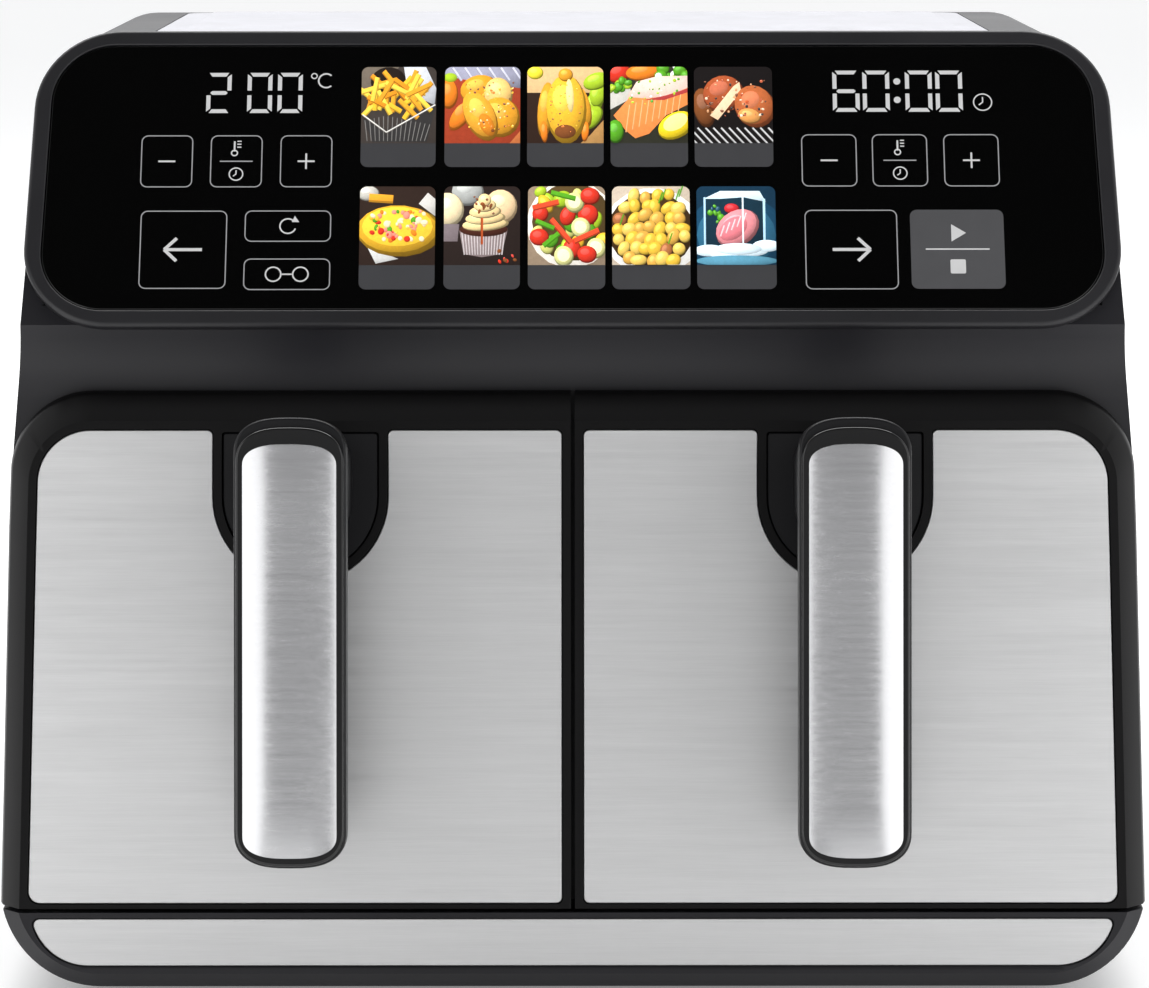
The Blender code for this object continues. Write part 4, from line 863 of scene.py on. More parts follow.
    def build(self, seat: Form) -> None:
        """Make both shells.

        Args:
            seat: cutter for the top plate's recess.
        """
        lay = self.layout
        split = lay.datum_y + lay.depth - self.cover_depth
        for name, node, level, facing, tools in (
                ("outer_casing_shell", "outer_casing", split, 1.0, [seat]),
                ("rear_cover_shell", "rear_cover", split + self.gap, -1.0, self.slots())):
            form = self.solid()
            self.open_faces(form)
            form.clip((0.0, level, 0.0), (0.0, facing, 0.0))
            carve(self.add(name, self.palette.casing, Slot.PLASTIC, form, node, wall=lay.wall,
                           edge=self.fine_edge, even=False), *tools)


@dataclass
class TopPlate(Assembly):
    """The satin plate let into the top, with its raised field."""

    half: float = 148.0 * MM
    front: float = 97.0 * MM
    back: float = 281.0 * MM
    corner: float = 9.0 * MM
    thickness: float = 1.2 * MM
    field_inset: float = 10.0 * MM
    field_rise: float = 0.8 * MM
    play: float = 0.3 * MM
    edge: float = 0.35 * MM

    def outline(self, inset: float) -> list[Point]:
        """The plate's outline from above."""
        base = self.layout.datum_y
        return round_box(-self.half + inset, base + self.front + inset, self.half - inset,
                         base + self.back - inset, self.corner - inset * 0.35, 10)

    def seat(self) -> Form:
        """Cutter for the recess in the casing."""
        form = Form()
        top = self.layout.top_z
        form.slab(self.outline(-self.play), top - self.thickness - self.play, top + 10.0 * MM)
        return form

    def build(self) -> None:
        """Make the plate."""
        top = self.layout.top_z
        sheet, field = Form(), Form()
        sheet.slab(self.outline(0.0), top - self.thickness, top)
        self.add("top_plate_sheet", self.palette.top, Slot.TOP, sheet, "top_plate", edge=self.edge)
        field.slab(self.outline(self.field_inset), top - self.thickness / 2.0, top + self.field_rise)
        field.tidy()
        field.round(field.sharp_edges(above=top), self.field_rise, 5)
        self.add("top_plate_field", self.palette.top, Slot.TOP, field)


@dataclass
class Base(Assembly):
    """Tray under everything, with the steel strip let into its front."""

    foot: float = 4.0 * MM
    corner: float = 35.0 * MM
    rear_corner: float = 32.0 * MM
    rear_steps: int = 12
    low_edge: float = 5.8 * MM
    strip: Point = (12.3 * MM, 28.2 * MM)
    strip_inset: float = 11.8 * MM
    strip_radius: float = 19.5 * MM
    strip_bend: float = 2.2 * MM
    strip_thickness: float = 1.0 * MM
    play: float = 0.3 * MM
    fine_edge: float = 0.5 * MM

    def plan(self, y: float) -> float:
        """Share of the full width that is left at a depth, for the round rear corners."""
        lay = self.layout
        past = y - (lay.datum_y + lay.depth - self.rear_corner)
        if past <= 0.0:
            return 1.0
        past = min(past, self.rear_corner)
        return 1.0 - (self.rear_corner - math.sqrt(self.rear_corner ** 2 - past ** 2)) / lay.half_width

    def solid(self) -> Form:
        """The tray's outside."""
        lay = self.layout
        head = lay.base_top * math.cos(lay.door_lean)
        half, back = lay.half_width, lay.datum_y + lay.depth
        form = Form()
        turn = math.degrees(math.acos(1.0 - (head - self.foot) / self.corner))
        right = arc((half - self.corner, self.foot + self.corner), self.corner, -90.0, -90.0 + turn, 16)
        ahead = lay.datum_y - 20.0 * MM
        face = form.bm.faces.new([form.bm.verts.new((x, ahead, z)) for x, z in mirrored(right)])
        form.pull([face], (0.0, back - ahead, 0.0))
        form.tidy()
        for vert in form.bm.verts:
            if vert.co.y < ahead + MM:
                vert.co.y = lay.lean_y(vert.co.z, 0.0)
        ends = form.edges(lambda a, b: abs(a.x - b.x) > NEAR and min(a.z, b.z) < head - NEAR
                          and (a.y > back - NEAR) == (b.y > back - NEAR))
        form.round([edge for edge in ends if edge.calc_face_angle(0.0) > 0.6], self.low_edge, 1)
        for step in range(self.rear_steps):
            share = math.sin(math.pi / 2.0 * step / self.rear_steps)
            form.score((0.0, back - self.rear_corner * (1.0 - share), 0.0), (0.0, 1.0, 0.0))
        for vert in form.bm.verts:
            vert.co.x *= self.plan(vert.co.y) * lay.half(vert.co.z) / half
        form.drop(lambda face, high: min(vert.co.z for vert in face.verts) > head - NEAR)
        return form

    def strip_outline(self, inset: float) -> list[Point]:
        """Outline of the strip on the door plane: small upper corners, large round lower ones."""
        half = self.layout.half_width - self.strip_inset - inset
        low, high = self.strip[0] + inset, self.strip[1] - inset
        radius, bend = self.strip_radius, self.strip_bend
        turn = math.degrees(math.acos(1.0 - (high - low - bend - 0.4 * MM) / radius))
        right = arc((half - radius, low + radius), radius, -90.0, -90.0 + turn, 14)
        right += arc((right[-1][0] - bend, high - bend), bend, 0.0, 90.0, 6)
        return mirrored(right)

    def build(self) -> None:
        """Make the tray and the strip."""
        plane = self.layout.door_plane()
        seat = Form()
        seat.slab(self.strip_outline(-self.play), -self.strip_thickness - self.play, 20.0 * MM)
        seat.bm.transform(plane.matrix())
        carve(self.add("base_tray", self.palette.casing, Slot.PLASTIC, self.solid(), "base_housing",
                       wall=self.layout.wall, edge=self.fine_edge), seat)
        form = Form()
        form.slab(self.strip_outline(0.0), -self.strip_thickness, 0.0)
        self.add("base_steel_strip", self.palette.plate, Slot.STEEL, form, "base_trim_strip",
                 plane=plane, edge=0.3 * MM)


# ---- drawers
@dataclass
class DrawerPart(Assembly):
    """What belongs to one drawer."""

    side: str
    sign: float

    def hang(self, name: str, finish: bpy.types.Material, slot: Slot, form: Form, stands_for: str = "",
             **shaping: "Plane | float | bool") -> None:
        """Make one piece of this drawer.

        Args:
            name: the piece's name without its side.
            finish: its material.
            slot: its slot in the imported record.
            form: its shape, which is used up.
            stands_for: the node that it replaces, without its side.
            shaping: what Piece.build takes.
        """
        self.add(f"{self.side}_{name}", finish, slot, form, stands_for and f"{self.side}_{stands_for}",
                 f"{self.side}_drawer", **shaping)


@dataclass
class Door(DrawerPart):
    """One drawer front: bevelled frame, steel plate with its notch, and the handle's insert."""

    corner: float = 28.0 * MM
    shoulder_share: float = 0.16
    face_corner: float = 21.0 * MM
    plate_corner: float = 18.0 * MM
    bevel: tuple[float, float, float] = (7.3 * MM, 10.5 * MM, 10.0 * MM)
    rim: float = 3.0 * MM
    foot_rim: float = 1.8 * MM
    sunk: float = 0.3 * MM
    sheet: float = 1.0 * MM
    notch_half: float = 29.4 * MM
    notch_centre: float = 170.0 * MM
    notch_corner: float = 2.0 * MM
    insert_half: float = 26.1 * MM
    insert_sunk: float = 0.8 * MM
    insert_thickness: float = 3.0 * MM
    play: float = 0.3 * MM

    def edge_at(self, up: float, inset: float) -> float:
        """Outer edge of the door at a height up its plane."""
        return self.layout.half(up * math.cos(self.layout.door_lean)) - inset

    def rise(self, low: float, knee: float, inset: float, steps: int, ends: int) -> list[Point]:
        """The leaning outer side, from a low point up to the knee of its round corner."""
        heights = [low + (knee - low) * step / steps for step in range(ends, steps + 1 - ends)]
        return [(self.edge_at(height, inset), height) for height in heights]

    def outline(self, side_inset: float, top_inset: float, radius: float, out: float) -> list[Point]:
        """Outline of the door at one level."""
        lay = self.layout
        low = lay.base_top + lay.seam / math.cos(lay.door_lean) - out * math.tan(lay.door_lean)
        high = lay.door_top - top_inset
        inner = lay.seam / 2.0
        knee = high - radius
        points = [(inner, low)] + self.rise(low, knee, side_inset, 8, 0)
        points += arc((self.edge_at(knee, side_inset) - radius, knee), radius, 0.0, 90.0, 16)[1:]
        points.append((inner, high))
        return [(self.sign * x, y) for x, y in points]

    def plate_loop(self, grow: float) -> list[Point]:
        """Outline of the steel plate with its notch; grow makes the plate larger, the notch smaller."""
        lay = self.layout
        low = lay.base_top + lay.seam + self.foot_rim - grow
        high = lay.door_top - self.bevel[1] - self.rim + grow
        inner = lay.seam / 2.0 + self.rim - grow
        inset = self.bevel[0] + self.rim - grow
        radius = self.plate_corner + grow
        small = 2.0 * MM
        foot = self.edge_at(low, inset)
        knee = high - radius
        points = arc((inner + small, low + small), small, 180.0, 270.0, 5)
        points += arc((foot - small * 2.0, low + small * 2.0), small * 2.0, -90.0, 0.0, 6)
        points += self.rise(low, knee, inset, 6, 1)
        points += arc((self.edge_at(knee, inset) - radius, knee), radius, 0.0, 90.0, 16)
        middle, half, bend = lay.handle_x, self.notch_half - grow, self.notch_corner
        points += arc((middle + half + bend, high - bend), bend, 90.0, 180.0, 6)
        points += arc((middle, self.notch_centre), half, 0.0, -180.0, 30)
        points += arc((middle - half - bend, high - bend), bend, 0.0, 90.0, 6)
        points += arc((inner + small, high - small), small, 90.0, 180.0, 5)
        return [(self.sign * x, y) for x, y in points]

    def insert_loop(self, grow: float) -> list[Point]:
        """Outline of the insert under the handle's root."""
        top = self.layout.door_top - self.bevel[1] - self.rim - 1.0 * MM + grow
        half, bend = self.insert_half + grow, 1.2 * MM
        middle = self.layout.handle_x
        points = arc((middle + half - bend, top - bend), bend, 0.0, 90.0, 4)
        points += arc((middle - half + bend, top - bend), bend, 90.0, 180.0, 4)
        points += arc((middle, self.notch_centre), half, 180.0, 360.0, 30)
        return [(self.sign * x, y) for x, y in points]

    def frame(self) -> Form:
        """The moulded front with its two pockets."""
        form = Form()
        side, top, depth = self.bevel
        shoulder = self.shoulder_share
        loops = [form.ring(self.outline(*level), level[-1])
                 for level in ((0.0, 0.0, self.corner, -self.layout.door_thickness),
                               (0.0, 0.0, self.corner, -depth),
                               (side * shoulder, top * shoulder, self.corner - 0.4 * MM, -depth * 0.62),
                               (side, top, self.face_corner, 0.0))]
        form.bridge(loops)
        form.cap(loops[0], -1.0)
        rims = list(loops[-1])
        for outline, depth in ((self.plate_loop(self.play), self.sunk + self.sheet),
                               (self.insert_loop(self.play), self.insert_sunk + self.insert_thickness)):
            rim, floor = form.ring(outline, 0.0), form.ring(outline, -depth - self.play)
            form.bridge((rim, floor))
            form.cap(floor)
            rims += rim
        form.cap(rims)
        return form

    def build(self) -> None:
        """Make frame, plate and insert."""
        plane = self.layout.door_plane()
        self.hang("door_front", self.palette.door, Slot.PLASTIC, self.frame(), "door_frame",
                  plane=plane, edge=0.45 * MM)
        plate = Form()
        plate.slab(self.plate_loop(0.0), -self.sunk - self.sheet, -self.sunk)
        self.hang("door_steel", self.palette.plate, Slot.STEEL, plate, "door_plate",
                  plane=plane, edge=0.35 * MM)
        insert = Form()
        insert.slab(self.insert_loop(0.0), -self.insert_sunk - self.insert_thickness, -self.insert_sunk)
        self.hang("insert", self.palette.grip, Slot.PLASTIC, insert, "handle_insert",
                  plane=plane, edge=0.45 * MM)


@dataclass
class Handle(DrawerPart):
    """Hanging bar handle: neck, satin body, glossy front and crowned steel cover."""

    half: float = 18.2 * MM
    low: float = 50.0 * MM
    high: float = 196.0 * MM
    bow: float = 12.0 * MM
    reach: float = 60.0 * MM
    thickness: float = 18.0 * MM
    neck_half: float = 17.4 * MM
    neck_low: float = 153.0 * MM
    neck_high: float = 190.0 * MM
    neck_radius: float = 15.0 * MM
    neck_top_radius: float = 8.0 * MM
    neck_sunk: float = 8.0 * MM
    rear_edge: float = 4.5 * MM
    front_edge: float = 1.0 * MM
    ring_half: float = 17.5 * MM
    ring_depth: float = 2.6 * MM
    ring_span: tuple[float, float] = (50.7 * MM, 192.8 * MM)
    ring_edge: float = 0.9 * MM
    cover_half: float = 15.2 * MM
    cover_low: float = 53.7 * MM
    cover_high: float = 187.2 * MM
    cover_bow: float = 7.0 * MM
    crown: float = 3.2 * MM

    @property
    def middle(self) -> float:
        """Where the handle's axis is, across."""
        return self.sign * self.layout.handle_x

    def grip(self) -> Form:
        """Neck and bar body as one moulding."""
        form = Form()
        middle = self.middle
        back = self.reach - self.thickness
        form.slab(bowed_bar(middle, self.half, self.low, self.high, self.bow), back,
                  self.reach - self.ring_depth + 0.6 * MM)
        form.tidy()
        form.round(form.sharp_edges(below=back + 10.0 * NEAR), self.rear_edge, 6)
        form.round(form.sharp_edges(above=back + self.thickness / 2.0), self.front_edge, 3)
        neck = Form()
        side = middle + self.neck_half
        low, top = self.neck_radius, self.neck_top_radius
        outline = (arc((side - low, self.neck_low + low), low, -90.0, 0.0, 12)
                   + arc((side - top, self.neck_high - top), top, 0.0, 90.0, 8))
        neck.slab(mirrored(outline, middle), -0.5 * MM, back + self.neck_sunk)
        neck.tidy()
        neck_mesh = bpy.data.meshes.new("neck")
        neck.bm.to_mesh(neck_mesh)
        neck.bm.free()
        form.bm.from_mesh(neck_mesh)
        bpy.data.meshes.remove(neck_mesh)
        return form

    def cover(self) -> Form:
        """A crowned sheet with bowed ends."""
        form = Form()
        bm = form.bm
        steps = 40
        base = self.reach + 0.3 * MM
        verts = []
        for step in range(steps + 1):
            across = -math.cos(math.pi * step / steps)
            rise = self.crown * (1.0 - across * across) + 0.7 * MM
            x = self.middle + self.cover_half * across
            verts.append(bm.verts.new((x, self.cover_low, base + rise)))
        edges = [bm.edges.new(pair) for pair in zip(verts, verts[1:])]
        length = self.cover_high - self.cover_low
        rows = 16
        for _ in range(rows):
            made = bmesh.ops.extrude_edge_only(bm, edges=edges)["geom"]
            moved = [item for item in made if isinstance(item, bmesh.types.BMVert)]
            bmesh.ops.translate(bm, vec=(0.0, length / rows, 0.0), verts=moved)
            edges = [item for item in made if isinstance(item, bmesh.types.BMEdge)
                     and all(vert in moved for vert in item.verts)]
        for vert in bm.verts:
            across = abs(vert.co.x - self.middle) / self.cover_half
            trim = self.cover_bow * (1.0 - max(1.0 - across ** 2.9, 0.0) ** 0.42)
            share = (vert.co.y - self.cover_low) / length
            vert.co.y = (self.cover_low + trim) * (1.0 - share) + (self.cover_high - trim) * share
        for vert in bm.verts:
            end = min(vert.co.y - self.cover_low, self.cover_high - vert.co.y)
            if end < 2.5 * MM:
                vert.co.z -= 0.5 * MM * (1.0 - end / (2.5 * MM)) ** 2
        return form

    def build(self) -> None:
        """Make grip, glossy front and cover."""
        plane = self.layout.door_plane()
        self.hang("handle_grip", self.palette.grip, Slot.GLOSS, self.grip(), "handle_bar",
                  plane=plane, edge=0.6 * MM, smooth=38.0)
        ring = Form()
        low, high = self.ring_span
        ring.slab(bowed_bar(self.middle, self.ring_half, low, high, self.bow),
                  self.reach - self.ring_depth, self.reach)
        ring.tidy()
        ring.round(ring.sharp_edges(above=self.reach - 10.0 * NEAR), self.ring_edge, 4)
        self.hang("handle_gloss", self.palette.gloss, Slot.GLOSS, ring, plane=plane)
        self.hang("handle_steel", self.palette.cover, Slot.STEEL, self.cover(), "handle_cover",
                  plane=plane, wall=1.0 * MM, edge=0.3 * MM, smooth=45.0)


@dataclass
class Basket(DrawerPart):
    """The coated cooking basket behind a door."""

    middle: float = 94.5 * MM
    half: float = 81.0 * MM
    floor: float = 43.0 * MM
    rim: float = 172.0 * MM
    back: float = 254.0 * MM
    corner: float = 16.0 * MM
    wall: float = 1.5 * MM

    def build(self) -> None:
        """A box, its front leant against the door, rounded, opened and given a wall."""
        lay = self.layout
        form = Form()
        x = self.sign * self.middle
        form.block((x - self.half, lay.datum_y, self.floor),
                   (x + self.half, lay.datum_y + self.back, self.rim))
        for vert in form.bm.verts:
            if vert.co.y < lay.datum_y + MM:
                vert.co.y = lay.lean_y(vert.co.z, lay.door_thickness + 0.3 * MM)
        form.round(form.edges(lambda a, b: min(a.z, b.z) <= self.rim - MM), self.corner, 8)
        form.bm.normal_update()
        form.drop(lambda face, high: face.normal.z > 0.99 and high > self.rim - MM)
        self.hang("basket_tub", self.palette.coated, Slot.COATED, form, "basket", wall=self.wall,
                  edge=0.4 * MM)


# ---- panel
@dataclass
class Bezel(Assembly):
    """The raised band round the glass, its hidden body, and the black glass."""

    band: float = 5.8 * MM
    body_inset: float = 8.5 * MM
    body_depth: float = 12.0 * MM
    body_wall: float = 2.5 * MM
    glass_thickness: float = 3.0 * MM
    glass_sunk: float = 0.3 * MM
    play: float = 0.25 * MM
    taper: float = 0.15
    corner_fall: float = 1.3
    outer_edge: float = 1.6 * MM

    def outline(self, inset: float, steps: int = 16) -> list[Point]:
        """The panel's outline, moved inwards."""
        lay = self.layout
        box = round_box(-lay.panel_half + inset, inset, lay.panel_half - inset, lay.panel_height - inset,
                        lay.panel_corner - self.corner_fall * inset, steps)
        return [(x * (1.0 - self.taper * max(y - lay.panel_corner, 0.0)), y) for x, y in box]

    def band_form(self, outer: float, inner: float, low: float, high: float) -> Form:
        """A closed band between two insets of the outline."""
        form = Form()
        loops = [form.ring(self.outline(inset), level)
                 for inset, level in ((outer, low), (outer, high), (inner, high), (inner, low))]
        form.bridge(loops + loops[:1])
        form.tidy()
        return form

    def build(self) -> None:
        """Make band, body and glass."""
        plane = self.layout.panel_plane()
        form = self.band_form(0.0, self.band, -self.layout.panel_proud + 0.3 * MM, 0.0)
        form.round(filter(self.is_outer, form.sharp_edges(above=-NEAR)), self.outer_edge, 5)
        self.add("panel_bezel_band", self.palette.bezel, Slot.PLASTIC, form, "panel_bezel",
                 plane=plane, edge=0.35 * MM)
        body = self.band_form(self.body_inset, self.body_inset + self.body_wall, -self.body_depth,
                              -self.layout.panel_proud + 0.2 * MM)
        self.add("panel_bezel_body", self.palette.inner, Slot.PLASTIC, body, plane=plane, edge=0.3 * MM)
        glass = Form()
        glass.slab(self.outline(self.band + self.play), -self.glass_thickness - self.glass_sunk,
                   -self.glass_sunk)
        self.add("panel_black_glass", self.palette.glass, Slot.GLASS, glass, "glass_panel",
                 plane=plane, edge=0.4 * MM)

    def is_outer(self, edge: bmesh.types.BMEdge) -> bool:
        """Whether an edge of the band lies on its outer side."""
        lay = self.layout
        point = (edge.verts[0].co + edge.verts[1].co) / 2.0
        reach_x = lay.panel_half - abs(point.x)
        reach_y = lay.panel_height / 2.0 - abs(point.y - lay.panel_height / 2.0)
        if reach_x > lay.panel_corner or reach_y > lay.panel_corner:
            return min(reach_x, reach_y) < self.band / 2.0
        gone = math.hypot(lay.panel_corner - reach_x, lay.panel_corner - reach_y)
        return lay.panel_corner - gone < self.band / 2.0


SEGMENTS = {"0": "abcdef", "2": "abged", "6": "acdefg"}


@dataclass
class Symbols(Assembly):
    """Printed signs on the glass, drawn in millimetres: figures, key outlines and plain signs."""

    level: float = -0.34
    top: float = -0.24
    line: float = 0.36
    key_corner: float = 2.4

    def __post_init__(self) -> None:
        """Start one form for each finish."""
        self.lit = Form()
        self.thin = Form()
        self.fields = Form()

    def fill(self, form: Form, points: Outline, lift: float = 0.0) -> None:
        """Print a filled outline."""
        form.slab(points, self.level, self.top + lift)

    def bar(self, form: Form, start: Point, end: Point, width: float, lift: float = 0.0) -> None:
        """Print a straight bar."""
        along = Vector((end[0] - start[0], end[1] - start[1])).normalized() * width / 2.0
        across = Vector((-along.y, along.x))
        first, last = Vector(start), Vector(end)
        corners = (first - across, last - across, last + across, first + across)
        self.fill(form, [tuple(corner) for corner in corners], lift)

    def circle(self, form: Form, centre: Point, radius: float, width: float, start: float = 0.0,
               end: float = 360.0) -> None:
        """Print a ring or an open arc."""
        outer, inner = (arc(centre, radius + half, start, end, 30)
                        for half in (width / 2.0, -width / 2.0))
        if end - start >= 360.0:
            form.band(outer[:-1], inner[:-1], self.level, self.top)
        else:
            self.fill(form, outer + inner[::-1])

    def figure(self, centre: Point, size: Point, digit: str) -> None:
        """A seven-segment figure."""
        (x, y), (width, height) = centre, size
        thick, cut = 1.4, 0.22
        left, right = x - width / 2.0, x + width / 2.0
        low, high = y - height / 2.0, y + height / 2.0
        mid = thick * 0.5
        upright = {"f": (left, y, high, 1.0), "b": (right, y, high, -1.0),
                   "e": (left, low, y, 1.0), "c": (right, low, y, -1.0)}
        for name in SEGMENTS[digit]:
            if name in upright:
                edge, start, stop, turn = upright[name]
                outer_low = start + cut + (mid if start == y else 0.3)
                outer_high = stop - cut - (mid if stop == y else 0.3)
                inner_low = outer_low + (0.0 if start == y else thick * 0.85)
                inner_high = outer_high - (0.0 if stop == y else thick * 0.85)
                self.fill(self.lit, [(edge, outer_low), (edge + turn * thick, inner_low),
                                     (edge + turn * thick, inner_high), (edge, outer_high)])
            elif name == "g":
                self.fill(self.lit, [(left + thick * 0.9, y), (left + thick * 1.4, y - mid),
                                     (right - thick * 1.4, y - mid), (right - thick * 0.9, y),
                                     (right - thick * 1.4, y + mid), (left + thick * 1.4, y + mid)])
            else:
                outer, inner = (high, high - thick) if name == "a" else (low, low + thick)
                self.fill(self.lit, [(left + 0.9, outer), (right - 0.9, outer),
                                     (right - thick * 1.15 - cut, inner), (left + thick * 1.15 + cut, inner)])

    def key(self, centre: Point, size: Point) -> None:
        """A key's outline."""
        outer, inner = (around(centre, size, self.key_corner, inset=inset) for inset in (0.0, self.line))
        self.thin.band(outer, inner, self.level, self.top)

    def arrow(self, centre: Point, turn: float) -> None:
        """A plain arrow that points to one side."""
        (x, y), reach, wing = centre, 6.4, 4.2
        tip = (x + turn * reach, y)
        self.bar(self.lit, (x - turn * reach, y), (x + turn * (reach - 0.8), y), 1.1)
        for rise in (wing, -wing):
            self.bar(self.lit, (tip[0] - turn * wing, y + rise), tip, 1.1, 0.01)

    def thermometer(self, centre: Point) -> None:
        """A plain thermometer sign."""
        x, y = centre
        self.circle(self.lit, (x, y - 1.6), 1.0, 0.45)
        self.bar(self.lit, (x, y - 1.0), (x, y + 2.8), 0.6, 0.01)
        for rise in (0.6, 1.7, 2.8):
            self.bar(self.lit, (x + 0.9, y + rise), (x + 2.3, y + rise), 0.4)

    def clock(self, centre: Point, radius: float, width: float = 0.42) -> None:
        """A clock face with two hands."""
        x, y = centre
        self.circle(self.lit, centre, radius, width)
        self.bar(self.lit, (x, y - 0.1), (x, y + radius * 0.62), width, 0.01)
        self.bar(self.lit, (x, y), (x - radius * 0.42, y - radius * 0.34), width, 0.02)

    def mode_key(self, centre: Point, size: Point) -> None:
        """The key that changes between temperature and time."""
        x, y = centre
        self.key(centre, size)
        self.thermometer((x - 0.7, y + 4.7))
        self.bar(self.thin, (x - 5.6, y), (x + 5.6, y), 0.4)
        self.clock((x, y - 4.8), 2.3)

    def side_block(self, minus: Point, mode: Point, plus: Point, size: Point) -> None:
        """Minus, mode and plus keys."""
        reach, width = 2.9, 0.62
        self.key(minus, size)
        self.bar(self.lit, (minus[0] - reach, minus[1]), (minus[0] + reach, minus[1]), width)
        self.mode_key(mode, size)
        self.key(plus, size)
        self.bar(self.lit, (plus[0] - reach, plus[1]), (plus[0] + reach, plus[1]), width)
        self.bar(self.lit, (plus[0], plus[1] - reach), (plus[0], plus[1] + reach), width, 0.01)

    def left_side(self) -> None:
        """Temperature figures and the keys under them."""
        for x, digit in ((-121.2, "2"), (-107.2, "0"), (-96.8, "0")):
            self.figure((x, 86.8), (8.5, 15.2), digit)
        self.circle(self.lit, (-88.6, 93.2), 0.95, 0.4)
        self.circle(self.lit, (-84.5, 91.4), 2.6, 0.55, 48.0, 312.0)
        self.side_block((-138.3, 61.0), (-114.6, 61.0), (-90.8, 61.0),
                        (17.7, 19.5))
        self.key((-131.8, 28.1), (29.4, 28.9))
        self.arrow((-131.8, 28.1), -1.0)
        for y in (36.8, 19.0):
            self.key((-96.5, y), (29.3, 11.6))
        self.circle(self.lit, (-96.5, 36.8), 2.7, 0.5, 40.0, 340.0)
        self.fill(self.lit, [(-95.2, 38.3), (-92.7, 38.3), (-94.2, 40.6)], 0.01)
        for shift in (-4.6, 4.6):
            self.circle(self.lit, (-96.5 + shift, 19.0), 2.6, 0.5)
        self.bar(self.lit, (-98.2, 19.0), (-94.8, 19.0), 0.5)

    def right_side(self) -> None:
        """Time figures and the keys under them."""
        for x, digit in ((93.8, "6"), (104.1, "0"), (118.7, "0"), (129.1, "0")):
            self.figure((x, 87.3), (9.2, 15.6), digit)
        for y in (84.0, 91.0):
            self.fill(self.lit, arc((111.3, y), 1.2, 0.0, 345.0, 23))
        self.clock((140.5, 83.1), 3.1)
        self.side_block((87.5, 61.2), (111.6, 61.2), (136.0, 61.2),
                        (18.9, 19.6))
        self.key((94.4, 28.0), (31.4, 29.4))
        self.arrow((94.4, 28.0), 1.0)
        self.start_key((130.3, 28.1), (31.7, 29.2))

    def start_key(self, centre: Point, size: Point) -> None:
        """The filled start and stop key."""
        x, y = centre
        self.fill(self.fields, around(centre, size, self.key_corner))
        lift = 0.03
        self.bar(self.lit, (x - 10.8, y), (x + 10.8, y), 0.5, lift)
        self.fill(self.lit, [(x - 2.0, y + 2.8), (x + 3.0, y + 6.0),
                             (x - 2.0, y + 9.2)], lift)
        self.fill(self.lit, around((x, y - 6.4), (5.2, 5.2), 0.5, 3), lift)

    def build(self) -> None:
        """Make the signs as three pieces on the glass."""
        self.left_side()
        self.right_side()
        plane = self.layout.panel_plane()
        for name, form, finish in (("panel_signs", self.lit, self.palette.lit),
                                   ("panel_key_lines", self.thin, self.palette.line),
                                   ("panel_start_field", self.fields, self.palette.key)):
            form.bm.transform(Matrix.Scale(MM, 4))
            self.add(name, finish, Slot.GLASS, form, plane=plane)


TILE_CORNER = 2.4 * MM


